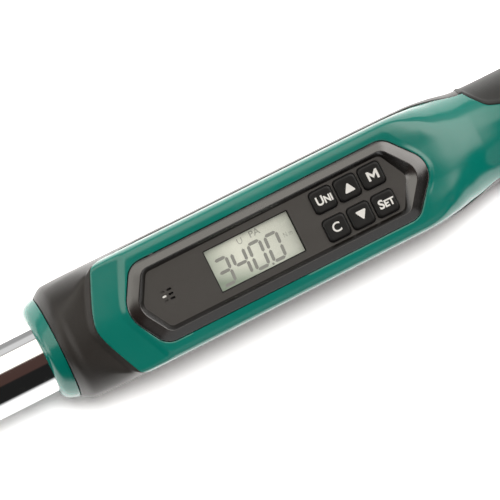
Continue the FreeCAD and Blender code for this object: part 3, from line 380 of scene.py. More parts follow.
def shaped_skin():
    """The skin's points and normals, with its console facets and its relief."""
    grid = base_skin(skin_stations(), skin_shares())
    x, y, z = grid[..., 0], grid[..., 1], grid[..., 2]
    on_console = smoothstep(*CONSOLE_BEGINS, x) * (1 - smoothstep(*CONSOLE_ENDS, x))
    lowered = smooth_min(z, plateau(x, y), CONSOLE_CREASE)
    grid[..., 2] = np.where(z > CONSOLE_LOW, z + (lowered - z) * on_console, z)
    normal = grid_normals(grid)
    grid += normal * skin_relief(x, y, grid[..., 2])[..., None]
    return grid, normal


class Cutter:
    """Keeps the part of a skin grid where a value is positive, and the points it needs."""

    def __init__(self, points, normal, value):
        self.flat, self.away = points.reshape(-1, 3), normal.reshape(-1, 3)
        self.level = value.reshape(-1)
        self.inside = self.level > 0
        self.verts, self.sides, self.index = [], [], {}

    def add(self, key, point, side):
        self.index[key] = len(self.verts)
        self.verts.append(point)
        self.sides.append(side)

    def corner(self, a):
        if a not in self.index:
            self.add(a, self.flat[a], self.away[a])
        return self.index[a]

    def crossing(self, a, b):
        """The point between two grid points where the value is nought."""
        low, high = key = (min(a, b), max(a, b))
        if key not in self.index:
            share = self.level[low] / (self.level[low] - self.level[high])
            point = self.flat[low] + (self.flat[high] - self.flat[low]) * share
            self.add(key, point, self.away[low] + (self.away[high] - self.away[low]) * share)
        return self.index[key]

    def face(self, cell):
        """The part of one grid cell that is kept."""
        face = []
        for a, b in zip(cell, cell[1:] + cell[:1]):
            if self.inside[a]:
                face.append(self.corner(a))
            if self.inside[a] != self.inside[b]:
                face.append(self.crossing(a, b))
        return tuple(face)


def clipped(grid, value, body, name):
    """The part of a skin grid where value is positive, as a piece with a turned-in edge."""
    cutter = Cutter(*grid, value)
    rows, columns = value.shape
    faces = []
    for r in range(rows - 1):
        for c in range(columns):
            k = (c + 1) % columns
            cell = (r * columns + c, r * columns + k, (r + 1) * columns + k, (r + 1) * columns + c)
            if any(cutter.inside[a] for a in cell):
                face = cutter.face(cell)
                if len(set(face)) > 2:
                    faces.append(face)
    return turned_in(name, np.array(cutter.verts), np.array(cutter.sides), faces, body)


def turned_in(name, verts, sides, faces, body):
    """Adds an inward wall along every open edge of a sheet, and eases that edge."""
    seen = {}
    for face in faces:
        for a, b in zip(face, face[1:] + face[:1]):
            key = (min(a, b), max(a, b))
            seen[key] = None if key in seen else (a, b)
    edges = [pair for pair in seen.values() if pair]
    rim = sorted({a for pair in edges for a in pair})
    place = {a: len(verts) + i for i, a in enumerate(rim)}
    inner = verts[rim] - sides[rim] * SKIRT
    verts[rim] -= sides[rim] * EDGE_EASE
    faces = faces + [(b, a, place[a], place[b]) for a, b in edges]
    return mesh_piece(name, np.vstack((verts, inner)), faces, body, SKIN_SHARP)


def beyond(x, y, corners):
    """How far each point is outside a rounded outline, and less than zero inside it."""
    ring = rounded_outline(corners)
    nearest = np.full(x.shape, np.inf)
    crossed = np.zeros(x.shape, dtype=bool)
    for (ax, ay), (bx, by) in zip(ring, np.roll(ring, -1, axis=0)):
        along, across = bx - ax, by - ay
        share = np.clip(((x - ax) * along + (y - ay) * across) / (along**2 + across**2), 0, 1)
        nearest = np.minimum(nearest, np.hypot(x - ax - share * along, y - ay - share * across))
        if ay != by:
            crossed ^= ((ay > y) != (by > y)) & (x < along * (y - ay) / across + ax)
    return np.where(crossed, -nearest, nearest)


def screw_wells():
    """The x and y of the screws from below: four through the shells and one into the tube."""
    low, high = (np.array(corner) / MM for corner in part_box("shell_screws"))
    head = SCREW_HEAD_RADIUS
    places = [(x, y) for x in (low[0] + head, high[0] - head) for y in (low[1] + head, high[1] - head)]
    low, high = (np.array(corner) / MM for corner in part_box("handle_screw"))
    return places + [((low[0] + high[0]) / 2, 0.0)]


def underside(x, y):
    """The height of the handle's underside."""
    width, bottom, power = (monotone(x, HANDLE, k) for k in (1, 3, 5))
    return -bottom * (1 - np.minimum(np.abs(y) / width, 1) ** power) ** (1 / power)


def make_wells():
    """The round walls of the screw holes, from just inside the skin up to the screws' heads."""
    points, faces = [], []
    turn = np.linspace(0, 2 * math.pi, int(WELL_POINTS / FINE), endpoint=False)
    for well_x, well_y in screw_wells():
        start = len(points)
        x, y = well_x + WELL_RADIUS * np.cos(turn), well_y + WELL_RADIUS * np.sin(turn)
        mouth = np.minimum(underside(x, y) + WELL_INSET, WELL_FLOOR)
        points += list(zip(x, y, mouth)) + [(px, py, WELL_FLOOR) for px, py in zip(x, y)]
        faces += [tuple(start + a for a in face) for face in ring_faces(len(turn), 2)]
    return mesh_piece("screw_wells", points, faces, "wrench")


def make_skin():
    """The cover, the lower shell and the sleeve."""
    skin = shaped_skin()
    x, y, z = np.moveaxis(skin[0], -1, 0)
    cover, sleeve = inside_cover(x, y, z), in_sleeve(x, y, z)
    green = np.minimum(np.minimum(cover, z - SEAM), -sleeve)
    opened = np.where(z > 0, beyond(x, y, BEZEL_OUTLINE) - BEZEL_GAP, SEAM)
    top = clipped(skin, np.minimum(green - PART_GAP, opened), "wrench", "cover_skin")
    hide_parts("upper_shell")
    grip = clipped(skin, sleeve - PART_GAP, "wrench", "sleeve_skin")
    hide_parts("grip_sleeve")
    dark = -np.maximum(green, sleeve) - PART_GAP
    for well_x, well_y in screw_wells():
        from_well = np.hypot(x - well_x, y - well_y) - WELL_RADIUS
        dark = np.where(z < 0, np.minimum(dark, from_well), dark)
    bottom = clipped(skin, dark, "wrench", "shell_skin")
    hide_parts("lower_shell")
    return top, bottom, grip


# ---------------------------------------------------------------- tube and rings

TUBE_RADIUS, TUBE_BORE = 12.5, 9.5
# How far in from the tube's end, and how far below its surface.
TUBE_EDGE = ((0.0, 0.6), (0.25, 0.15), (0.6, 0.0))
TUBE_LEVEL, TUBE_STATIONS, TUBE_SEGMENTS = 12, 40, 320

RING_SEGMENTS = 256
# x, radius
FRONT_RING = (
    (322.0, 12.65), (322.0, 13.3), (322.12, 13.75), (322.4, 14.35), (322.85, 15.05),
    (323.5, 15.65), (324.3, 16.1), (325.2, 16.45), (326.2, 16.8), (326.8, 16.95), (327.1, 16.9),
    (327.25, 16.6), (327.25, 12.65),
)
# x from the ring's start, radius
REAR_RING = (
    (0.0, 13.0), (0.0, 16.2), (0.15, 16.5), (0.5, 16.7), (3.4, 16.7), (3.75, 16.5), (3.9, 16.2),
    (3.9, 13.0),
)


def make_tube():
    start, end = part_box("tube")[0][0] / MM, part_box("tube")[1][0] / MM
    level = np.linspace(start + TUBE_LEVEL, end - TUBE_LEVEL, TUBE_STATIONS)
    profile = [(start, TUBE_BORE)]
    profile += [(start + inward, TUBE_RADIUS - below) for inward, below in TUBE_EDGE]
    profile += [(x, TUBE_RADIUS) for x in level]
    profile += [(end - inward, TUBE_RADIUS - below) for inward, below in reversed(TUBE_EDGE)]
    profile.append((end, TUBE_BORE))
    tube = lathe("tube_skin", profile, "wrench", TUBE_SEGMENTS)
    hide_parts("tube")
    return tube


def make_rings():
    front = lathe("front_ring_skin", FRONT_RING, "wrench", RING_SEGMENTS)
    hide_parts("front_ring")
    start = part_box("end_ring")[0][0] / MM
    profile = [(start + x, radius) for x, radius in REAR_RING]
    rear = lathe("end_ring_skin", profile, "wrench", RING_SEGMENTS)
    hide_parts("end_ring")
    return front, rear


# ---------------------------------------------------------------- display


def hexagon(front, front_corner, rear_corner, rear, half, tip_round, corner_round):
    """Corners of a long hexagon whose rear tip is a little less rounded than its front tip."""
    rear_round = tip_round * 0.8
    return [
        (front, 0, tip_round), (front_corner, -half, corner_round), (rear_corner, -half, corner_round),
        (rear, 0, rear_round), (rear_corner, half, corner_round), (front_corner, half, corner_round),
    ]


BEZEL_OUTLINE = hexagon(349.5, 357.6, 446.1, 457.6, 13.75, 10, 6)
RIDGE_OUTLINE = hexagon(353.8, 360.4, 444.3, 452.6, 10.85, 7, 3.5)
OPENING_OUTLINE = hexagon(356.0, 361.4, 443.1, 448.1, 9.4, 3, 2.0)
# Share of the way from the bezel's outline to its ridge, or from the ridge to the opening, and height.
BEZEL_RISE = (
    (0, 20.4), (0, 21.9), (0.03, 22.12), (0.08, 22.25), (0.5, 22.66), (0.92, 23.05), (0.98, 23.09),
    (1, 23.08),
)
BEZEL_FALL = ((0.08, 22.98), (0.5, 22.28), (0.96, 21.5), (1, 21.35))

WINDOW_CENTRE, WINDOW_LENGTH, WINDOW_WIDTH = 394.9, 29.7, 14.5
# The width of the band of painted shade round the window.
WINDOW_LINE = 0.4
# Print, and the band of painted shade round the window, stand this far above what they are on.
WINDOW_SHADE_LIFT, KEY_PRINT, DISPLAY_PRINT = 0.015, 0.012, 0.02

# node, body, legend
KEYS = (
    ("key_unit", "unit_key", "UNI"), ("key_up", "up_key", "up"), ("key_memory", "memory_key", "M"),
    ("key_clear", "clear_key", "C"), ("key_down", "down_key", "down"), ("key_set", "set_key", "SET"),
)
# half width, corner radius, height from the key's top
KEY_SIDES = (
    (3.75, 1.5, -2.4), (3.75, 1.5, -0.62), (3.7, 1.48, -0.42), (3.58, 1.42, -0.22),
    (3.4, 1.3, -0.08), (3.2, 1.2, -0.01), (2.9, 1.1, 0.0), (1.5, 0.5, -0.06), (0.4, 0.1, -0.09),
)


def make_bezel():
    outer, ridge, inner = BEZEL_OUTLINE, RIDGE_OUTLINE, OPENING_OUTLINE
    levels = [(mixed(outer, ridge, share), height) for share, height in BEZEL_RISE]
    levels += [(mixed(ridge, inner, share), height) for share, height in BEZEL_FALL]
    piece = loft_piece("bezel_skin", levels, "wrench", arc_steps=14, side_steps=20)
    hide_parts("bezel")
    return piece


def make_window_edge():
    """A thin black band round the display's window: painted shade that stands for the shadow along the
    window's recessed edge.
    """
    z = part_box("display_window")[1][2] / MM - AXIS_HEIGHT + WINDOW_SHADE_LIFT
    outlines = []
    for inset in (0, WINDOW_LINE):
        half_long, half = WINDOW_LENGTH / 2 - inset, WINDOW_WIDTH / 2 - inset
        x0, x1 = WINDOW_CENTRE - half_long, WINDOW_CENTRE + half_long
        outlines += [(x0, -half, z), (x1, -half, z), (x1, half, z), (x0, half, z)]
    return mesh_piece("window_edge", outlines, ring_faces(4, 2), "wrench")


def square(x, y, half, radius):
    ways = ((-1, 1), (-1, -1), (1, -1), (1, 1))
    return [(x + half * along, y + half * across, radius) for along, across in ways]


def key_middle(node):
    low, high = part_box(node)
    return (low[0] + high[0]) / 2 / MM, (low[1] + high[1]) / 2 / MM, high[2] / MM - AXIS_HEIGHT


def make_keys():
    pieces, legends = [], []
    for node, body, legend in KEYS:
        x, y, top = key_middle(node)
        levels = [(square(x, y, half, radius), top + height) for half, radius, height in KEY_SIDES]
        cap = loft_piece(node + "_cap", levels, body, 7, 5, capped=True)
        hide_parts(node)
        pieces.append(cap)
        legends.append(make_legend(node + "_legend", body, x, y, top + KEY_PRINT, legend))
    return pieces, legends


# ---------------------------------------------------------------- print

# All legends but C are printed this far towards the handle's end from their key's middle.
LEGEND_SHIFT = 0.4
LETTER_SIZE, LETTER_BOLD = 4.3, 0.08
WORD_SIZE, WORD_BOLD, SMALL_CAPS = 4.0, 0.12, 0.78
WORD_WIDTHS = {"UNI": 0.92, "SET": 1.0}


def triangle_legend(name, x, y, z, up, body):
    side, reach, corner = 1.9, 1.6, 0.3
    tip, base = (y + reach, y - reach) if up else (y - reach, y + reach)
    corners = [(x - side, base, corner), (x + side, base, corner), (x, tip, corner)]
    if not up:
        corners = corners[::-1]
    points = [(px, py, z) for px, py in rounded_outline(corners, arc_steps=4, side_steps=1)]
    return mesh_piece(name, points, [tuple(range(len(points)))], body)


def letter_m(name, x, y, z, body):
    """A bold capital M: two legs, and two slopes that meet between them."""
    half, tall, leg = 1.85, 3.1, 0.74
    shoulder, dip_low, dip_high = tall - 1.2, 0.5, 1.75
    inner = -half + leg
    left = [
        [(-half, 0), (inner, 0), (inner, tall), (-half, tall)],
        [(inner, tall), (inner, shoulder), (0, dip_low), (0, dip_high)],
    ]
    right = [[(-px, py) for px, py in bar][::-1] for bar in left]
    points, faces = [], []
    for bar in left + right:
        faces.append(tuple(range(len(points), len(points) + len(bar))))
        points += [(x + px, y + py - tall / 2, z) for px, py in bar]
    return mesh_piece(name, points, faces, body)


def letters(name, text, x, y, z, size, body, bold, narrow=1.0, small=None):
    """A line of print, centred on a place. With small, letters after the first are small capitals."""
    curve = bpy.data.curves.new(name, "FONT")
    curve.body = text
    curve.size = size
    curve.align_x, curve.align_y = "CENTER", "CENTER"
    curve.offset = bold
    curve.resolution_u = 6
    if small:
        for letter in curve.body_format[1:]:
            letter.use_small_caps = True
        curve.small_caps_scale = small
    made = bpy.data.objects.new(name + "_text", curve)
    bpy.context.scene.collection.objects.link(made)
    bpy.context.view_layer.update()
    depsgraph = bpy.context.evaluated_depsgraph_get()
    mesh = bpy.data.meshes.new_from_object(made.evaluated_get(depsgraph))
    bpy.data.objects.remove(made)
    mesh.name = name
    where = Matrix.Translation(Vector((x, y, z + AXIS_HEIGHT)) * MM)
    mesh.transform(where @ Matrix.Diagonal((MM * narrow, MM, MM, 1)))
    return dress(name, mesh, body)


def make_legend(name, body, x, y, z, legend):
    if legend == "C":
        return letters(name, legend, x, y, z, LETTER_SIZE, body, LETTER_BOLD)
    x += LEGEND_SHIFT
    if legend in ("up", "down"):
        return triangle_legend(name, x, y, z, legend == "up", body)
    if legend == "M":
        return letter_m(name, x, y, z, body)
    text, width = legend.capitalize(), WORD_WIDTHS[legend]
    return letters(name, text, x, y, z, WORD_SIZE, body, WORD_BOLD, width, SMALL_CAPS)


SEGMENTS = {"0": "abcdef", "3": "abcdg", "4": "bcfg"}
DIGIT_WIDTH, DIGIT_HEIGHT, DIGIT_BAR, DIGIT_PITCH, DIGIT_LEAN = 5.0, 9.4, 1.05, 5.85, 0.05
# From the window's centre.
FIRST_DIGIT, DIGIT_MIDDLE = -10.9, -1.6
DOT_X, DOT_Y, DOT_RADIUS, DOT_POINTS = 3.75, -6.2, 0.4, 12
# name, text, x and y from the window's centre, size, bold, stretch
SIGNS = (
    ("readout_mode", "PA", 2.6, 5.2, 2.9, 0.05, 1.08),
    ("readout_unit", "N m", 12.0, 0.2, 2.3, 0.02, 0.72),
)


def flat_bar(y, half_width, thick, gap):
    half, end = thick / 2, half_width - gap
    return [
        (-end + half, y), (-end + thick, y + half), (end - thick, y + half),
        (end - half, y), (end - thick, y - half), (-end + thick, y - half),
    ]


def upright_bar(x, low, high, half, gap):
    low, high = low + gap, high - gap
    return [
        (x, low), (x + half, low + half), (x + half, high - half),
        (x, high), (x - half, high - half), (x - half, low + half),
    ]


def segment_shape(which):
    """The corners of one bar of a seven-bar digit whose middle is the origin."""
    gap, half = 0.12, DIGIT_BAR / 2
    side, end = DIGIT_WIDTH / 2 - half, DIGIT_HEIGHT / 2 - half
    if which in "adg":
        return flat_bar({"a": end, "g": 0, "d": -end}[which], DIGIT_WIDTH / 2, DIGIT_BAR, gap)
    x = side if which in "bc" else -side
    low, high = (0, end) if which in "bf" else (-end, 0)
    return upright_bar(x, low, high, half, gap)


def make_digits(z):
    points, faces = [], []
    for place, digit in enumerate("3400"):
        x = WINDOW_CENTRE + FIRST_DIGIT + place * DIGIT_PITCH
        for which in SEGMENTS[digit]:
            shape = segment_shape(which)
            faces.append(tuple(range(len(points), len(points) + len(shape))))
            points += [(x + px + py * DIGIT_LEAN, DIGIT_MIDDLE + py, z) for px, py in shape]
    faces.append(tuple(range(len(points), len(points) + DOT_POINTS)))
    for turn in np.linspace(0, 2 * math.pi, DOT_POINTS, endpoint=False):
        x = WINDOW_CENTRE + DOT_X + DOT_RADIUS * math.cos(turn)
        points.append((x, DOT_Y + DOT_RADIUS * math.sin(turn), z))
    return mesh_piece("readout_digits", points, faces, "wrench")


def peak_sign(z):
    """A small U-shaped sign over the digits."""
    x, y, wide, tall, line = WINDOW_CENTRE - 2.6, 4.9, 0.85, 1.0, 0.28
    leg = y + 1.0
    turns = np.linspace(math.pi, 2 * math.pi, 12)
    points = []
    for inset in (0, line):
        reach, depth = wide - inset, tall - inset
        curve = [(x + reach * math.cos(t), y + depth * math.sin(t), z) for t in turns]
        points += [(x - reach, leg, z)] + curve + [(x + reach, leg, z)]
    count = len(points) // 2
    faces = [(i, i + 1, count + i + 1, count + i) for i in range(count - 1)]
    return mesh_piece("readout_sign", points, faces, "wrench")


def make_readout():
    """The digits and signs inside the display's glass."""
    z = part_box("lcd_module")[1][2] / MM - AXIS_HEIGHT + DISPLAY_PRINT
    digits = make_digits(z)
    signs = [
        letters(name, text, WINDOW_CENTRE + x, y, z, size, "wrench", bold, stretch)
        for name, text, x, y, size, bold, stretch in SIGNS
    ]
    return digits, signs + [peak_sign(z)]


# ---------------------------------------------------------------- materials

# The sockets of a Mix node that mixes colours.
MIX_SHARE, MIX_FIRST, MIX_SECOND, MIX_RESULT = 0, 6, 7, 2
SOCKETS = {
    "metal": "Metallic", "rough": "Roughness", "ior": "IOR", "specular": "Specular IOR Level",
    "alpha": "Alpha", "glow": "Emission Strength",
}
PLASTIC_DRIFT = 0.06


class Shader:
    """A material under construction: one Principled shader and its helper nodes."""

    def __init__(self, name):
        self.material = bpy.data.materials.new(name)
        self.material.use_nodes = True
        self.tree = self.material.node_tree
        self.bsdf = self.tree.nodes["Principled BSDF"]
        self.place = self.tree.nodes.new("ShaderNodeTexCoord").outputs["Object"]

    def set(self, **values):
        for key, value in values.items():
            self.bsdf.inputs[SOCKETS[key]].default_value = value

    def glow_color(self, color):
        self.bsdf.inputs["Emission Color"].default_value = (*color, 1)

    def link(self, output, socket):
        self.tree.links.new(output, self.bsdf.inputs[socket])

    def stretched(self, x, y, z):
        mapping = self.tree.nodes.new("ShaderNodeMapping")
        mapping.inputs["Scale"].default_value = (x, y, z)
        self.tree.links.new(self.place, mapping.inputs["Vector"])
        return mapping.outputs["Vector"]

    def noise(self, scale, detail, where=None, rough=0.5):
        node = self.tree.nodes.new("ShaderNodeTexNoise")
        node.inputs["Scale"].default_value = scale
        node.inputs["Detail"].default_value = detail
        node.inputs["Roughness"].default_value = rough
        self.tree.links.new(where or self.place, node.inputs["Vector"])
        return node.outputs["Fac"]

    def spread(self, value, low, high, start=0.3, end=0.7):
        """A value from start to end, spread out from low to high."""
        node = self.tree.nodes.new("ShaderNodeMapRange")
        node.inputs["From Min"].default_value = start
        node.inputs["From Max"].default_value = end
        node.inputs["To Min"].default_value = low
        node.inputs["To Max"].default_value = high
        self.tree.links.new(value, node.inputs["Value"])
        return node.outputs["Result"]

    def mix(self, share, first, second):
        node = self.tree.nodes.new("ShaderNodeMix")
        node.data_type = "RGBA"
        for socket, value in ((node.inputs[MIX_FIRST], first), (node.inputs[MIX_SECOND], second)):
            if isinstance(value, tuple):
                socket.default_value = (*value, 1)
            else:
                self.tree.links.new(value, socket)
        self.tree.links.new(share, node.inputs[MIX_SHARE])
        return node.outputs[MIX_RESULT]

    def bump(self, value, depth):
        """Relief of a depth in millimetres."""
        node = self.tree.nodes.new("ShaderNodeBump")
        node.inputs["Strength"].default_value = 1.0
        node.inputs["Distance"].default_value = depth * MM
        self.tree.links.new(value, node.inputs["Height"])
        return node.outputs["Normal"]


def shade(color, factor):
    return tuple(c * factor for c in color)


def moulded(name, color, rough, grain=0.035, grain_size=0.35, specular=0.5, scuffs=0.0, ior=1.5):
    """Moulded plastic or rubber: fine grain, slight colour drift and, if wanted, light scuffs."""
    s = Shader(name)
    drift = s.spread(s.noise(28, 4), 0, 1)
    tint = s.mix(drift, shade(color, 1 - PLASTIC_DRIFT), shade(color, 1 + PLASTIC_DRIFT))
    if scuffs:
        marks = s.spread(s.noise(260, 6, s.stretched(0.35, 1, 1), 0.72), 0, scuffs, 0.66, 0.78)
        tint = s.mix(marks, tint, shade(color, 1.9))
    s.link(tint, "Base Color")
    s.link(s.spread(s.noise(90, 5), rough - 0.05, rough + 0.07), "Roughness")
    s.link(s.bump(s.noise(1000 / grain_size, 2), grain), "Normal")
    s.set(specular=specular, ior=ior)
    return s.material


def metal(name, color, rough, brushed=0.0, uneven=0.04, grain=0.01):
    """Plated or bare steel, with faint handling marks and, if brushed, drawn lines."""
    s = Shader(name)
    s.set(metal=1.0)
    drift = s.spread(s.noise(40, 5), 0, 1)
    s.link(s.mix(drift, shade(color, 1 - uneven), shade(color, 1 + uneven)), "Base Color")
    smears = s.noise(55, 6, s.stretched(0.5, 1, 1), 0.65)
    s.link(s.spread(smears, max(rough - 0.02, 0.02), rough + 0.05 + brushed * 0.1), "Roughness")
    lines = s.noise(900, 3, s.stretched(0.05, 1, 1) if brushed else None)
    s.link(s.bump(lines, grain * (0.3 + brushed)), "Normal")
    return s.material


def clear_window():
    s = Shader("clear_window")
    s.bsdf.inputs["Base Color"].default_value = (0.93, 0.95, 0.93, 1)
    s.link(s.spread(s.noise(120, 4), 0.02, 0.06), "Roughness")
    s.set(alpha=0.08, specular=0.35)
    return s.material


def display_glass():
    """Pale reflective display, darker towards its end, with painted shade that makes it greener and darker
    in one corner, and a faint painted glow.
    """
    s = Shader("display_glass")
    low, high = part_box("lcd_module")
    split = s.tree.nodes.new("ShaderNodeSeparateXYZ")
    s.tree.links.new(s.place, split.inputs["Vector"])
    along = s.spread(split.outputs["X"], 0, 1, low[0] + 2 * MM, low[0] + 22 * MM)
    across = s.spread(split.outputs["Y"], 0, 1, low[1] + 1 * MM, low[1] + 8 * MM)
    total = s.tree.nodes.new("ShaderNodeMath")
    total.operation = "ADD"
    s.tree.links.new(along, total.inputs[0])
    s.tree.links.new(across, total.inputs[1])
    # Painted shade: towards its corner at the head's end and the -Y side, the display is mixed into dark
    # green to stand for the shade of the window's recess.
    corner = s.spread(total.outputs[0], 1, 0, 0.6, 1.5)
    side = s.spread(split.outputs["X"], 0, 1, low[0] + 12 * MM, high[0])
    even = s.mix(side, (0.71, 0.73, 0.65), (0.42, 0.44, 0.39))
    s.link(s.mix(corner, even, (0.09, 0.16, 0.085)), "Base Color")
    s.link(s.spread(s.noise(200, 2), 0.25, 0.35), "Roughness")
    s.link(s.bump(s.noise(3000, 1), 0.004), "Normal")
    # Painted light: a faint pale glow brightens the display, which has no lamp of its own.
    s.glow_color((0.85, 0.90, 0.76))
    s.set(glow=0.14)
    return s.material


def display_ink(name, color):
    s = Shader(name)
    s.link(s.mix(s.spread(s.noise(90, 2), 0, 1), shade(color, 0.88), shade(color, 1.12)), "Base Color")
    s.link(s.spread(s.noise(300, 2), 0.4, 0.5), "Roughness")
    return s.material


def board_laminate():
    """Green board with slightly raised tracks."""
    s = Shader("board_laminate")
    tracks = s.noise(900, 0, s.stretched(1, 0.25, 1))
    s.link(s.mix(s.spread(tracks, 0, 1, 0.5, 0.54), (0.01, 0.11, 0.045), (0.02, 0.17, 0.07)), "Base Color")
    s.link(s.spread(s.noise(200, 3), 0.25, 0.4), "Roughness")
    s.link(s.bump(s.spread(tracks, 0, 1, 0.5, 0.54), 0.03), "Normal")
    return s.material


def foil():
    """Copper-coloured strain gauge with a fine grid."""
    s = Shader("gauge_foil")
    grid = s.tree.nodes.new("ShaderNodeTexWave")
    grid.inputs["Scale"].default_value = 900
    s.tree.links.new(s.place, grid.inputs["Vector"])
    lines = s.spread(grid.outputs["Fac"], 0, 1, 0.4, 0.6)
    s.link(s.mix(lines, (0.55, 0.28, 0.05), (0.75, 0.6, 0.4)), "Base Color")
    s.link(s.spread(s.noise(300, 3), 0.2, 0.35), "Roughness")
    return s.material


def plastics():
    """Colour, roughness, depth of the grain and its size in millimetres."""
    return {
        "green_plastic": moulded("green_cover", (0.001, 0.172, 0.136), 0.17, 0.003, 0.45, specular=0.7),
        "dark_plastic": moulded("dark_shell", (0.022, 0.0195, 0.0175), 0.38, specular=0.38, scuffs=0.05),
        "dark_rubber": moulded("sleeve_rubber", (0.022, 0.022, 0.021), 0.52, 0.05, 0.5, specular=0.4),
        "bezel_plastic": moulded("bezel_plastic", (0.007, 0.006, 0.005), 0.22, 0.006, 0.4, 1.0, ior=1.62),
        "panel_plastic": moulded("panel_film", (0.052, 0.049, 0.046), 0.42, 0.03, 0.3),
        "white_plastic": moulded("white_print", (0.80, 0.80, 0.78), 0.45, 0.01, 0.4),
        "key_rubber": moulded("key_rubber", (0.009, 0.009, 0.009), 0.42, 0.02, 0.3, specular=0.3),
        "chip": moulded("black_epoxy", (0.02, 0.02, 0.021), 0.4, 0.02, 0.2),
        "cell_jacket": moulded("cell_jacket", (0.05, 0.055, 0.08), 0.25, 0.01, 0.6),
        "cable_jacket": moulded("cable_jacket", (0.03, 0.03, 0.03), 0.45, 0.03, 0.3),
        "seal_rubber": moulded("seal_rubber", (0.012, 0.012, 0.012), 0.4, 0.02, 0.3),
    }


def metals():
    return {
        "chrome": metal("chrome_plate", (0.92, 0.92, 0.92), 0.045, grain=0.002, uneven=0.015),
        "head_steel": metal("satin_chrome", (0.36, 0.36, 0.37), 0.24, brushed=0.2),
        "gear_steel": metal("ground_steel", (0.42, 0.42, 0.43), 0.28, brushed=0.8),
        "screw_steel": metal("black_steel", (0.09, 0.09, 0.095), 0.34, brushed=0.3),
        "spring_steel": metal("spring_wire", (0.58, 0.58, 0.60), 0.18, brushed=0.2),
        "brass_part": metal("brass_contact", (0.72, 0.52, 0.22), 0.22, brushed=0.3),
    }


def slot_materials():
    """One material for each of the record's slots."""
    return {
        **metals(),
        **plastics(),
        "clear": clear_window(),
        "lcd": display_glass(),
        "board": board_laminate(),
        "gauge_foil": foil(),
    }


def paint(obj, material):
    obj.data.materials.clear()
    obj.data.materials.append(material)


def paint_frame(materials):
    """Gives every CAD node its slot's material."""
    for part in frame["record"]["subparts"]:
        node = frame["nodes"][part["node"]]
        node = bpy.data.objects[node] if isinstance(node, str) else node
        for slot in node.material_slots:
            slot.material = materials[part["material_slot"]]


# ---------------------------------------------------------------- stage

VIEW_TURN = math.radians(26.6)
VIEW_AIM = (395.5, 0.0, 0.0)
VIEW_WIDTH = 157.2
VIEW_DISTANCE = 4000.0
VIEW_TILT_UP = math.radians(2.8)
VIEW_TILT_HEAD = math.radians(4.5)
SENSOR_WIDTH = 36

# Lamps: energy, spread in degrees, lean in degrees from straight up, positive towards -Y.
FLOOR_LAMP = (4.1, 18, -12)
LOW_LAMP = (0.45, 66, 48)
FLOOR_GLOW = 0.12
# Metres.
FLOOR_HALF, FLOOR_GAP = 9, 0.0002

SKY_STRENGTH = 1.4
WHITE, WARM, BRIGHT = (1.0, 1.0, 1.0), (1.25, 1.2, 1.1), (2.3, 2.2, 2.1)
SOFT, PALE, GREY, BLACK = (0.6, 0.6, 0.6), (0.5, 0.5, 0.5), (0.25, 0.25, 0.25), (0.01, 0.01, 0.01)
BROWN = (0.050, 0.028, 0.024)
# Degrees from straight up, positive towards +Y, and the light's colour from there.
NEAR_SKY = ((-180, WHITE), (-92, WHITE), (-84, SOFT), (-77, BLACK))
FAR_SKY = (
    (52.5, GREY), (54.5, GREY), (56, PALE), (70, PALE), (75, GREY), (92, GREY), (110, PALE), (180, PALE),
)
OVERHEAD = ((-29, BLACK), (-25, BROWN), (5, BROWN), (9, WARM), (51, WARM))
BESIDE = ((-12, BLACK), (-3, BRIGHT), (51, BRIGHT))
# Overhead gives way to beside where a direction's X is this far from the middle.
OVERHEAD_MIDDLE, OVERHEAD_EDGE = -0.24, (0.56, 0.66)


def make_camera():
    right = Vector((math.cos(VIEW_TURN), -math.sin(VIEW_TURN), 0))
    aim = Vector(VIEW_AIM) + Vector((0, 0, AXIS_HEIGHT))
    lean = Vector((-math.tan(VIEW_TILT_HEAD), math.tan(VIEW_TILT_UP), 1)).normalized()
    data = bpy.data.cameras.new("camera")
    data.sensor_width = SENSOR_WIDTH
    data.lens = SENSOR_WIDTH * VIEW_DISTANCE / VIEW_WIDTH
    data.clip_start, data.clip_end = 0.01, 50
    camera = bpy.data.objects.new("camera", data)
    side = (right - lean * right.dot(lean)).normalized()
    over = lean.cross(side)
    turn = Matrix((side, over, lean)).transposed().to_4x4()
    camera.matrix_world = Matrix.Translation((aim + lean * VIEW_DISTANCE) * MM) @ turn
    bpy.context.scene.collection.objects.link(camera)
    bpy.context.scene.camera = camera


def make_floor():
    """A pale floor that touches the square drive and the battery cap."""
    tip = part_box("drive_gear")[0][2]
    low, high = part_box("battery_cap")
    slope = math.atan2(low[2] - tip, (low[0] + high[0]) / 2)
    half = FLOOR_HALF
    corners = [(-half, -half, 0), (half, -half, 0), (half, half, 0), (-half, half, 0)]
    mesh = bpy.data.meshes.new("floor")
    mesh.from_pydata(corners, [], [(0, 1, 2, 3)])
    floor = bpy.data.objects.new("floor", mesh)
    floor.matrix_world = Matrix.Translation((0, 0, tip - FLOOR_GAP)) @ Matrix.Rotation(-slope, 4, "Y")
    bpy.context.scene.collection.objects.link(floor)
    s = Shader("floor_paper")
    s.link(s.mix(s.spread(s.noise(4, 2), 0, 1), (0.90, 0.90, 0.90), (0.93, 0.93, 0.93)), "Base Color")
    s.set(rough=0.9, specular=0.1, glow=FLOOR_GLOW)
    s.glow_color((1, 1, 1))
    paint(floor, s.material)
    make_lamp("floor_lamp", FLOOR_LAMP, [floor])


def sky_ramp(tree, share, sky):
    """A colour for each angle about the tube's axis."""
    ramp = tree.nodes.new("ShaderNodeValToRGB")
    tree.links.new(share, ramp.inputs["Fac"])
    stops = ramp.color_ramp.elements
    for i, (degrees, color) in enumerate(sky):
        at = (degrees + 180) / 360
        stop = stops[i] if i < 2 else stops.new(at)
        stop.position = at
        stop.color = (*color, 1)
    return ramp.outputs["Color"]


def sky_math(tree, operation, first, second=0.0):
    node = tree.nodes.new("ShaderNodeMath")
    node.operation = operation
    for socket, value in zip(node.inputs, (first, second)):
        if isinstance(value, float):
            socket.default_value = value
        else:
            tree.links.new(value, socket)
    return node.outputs[0]


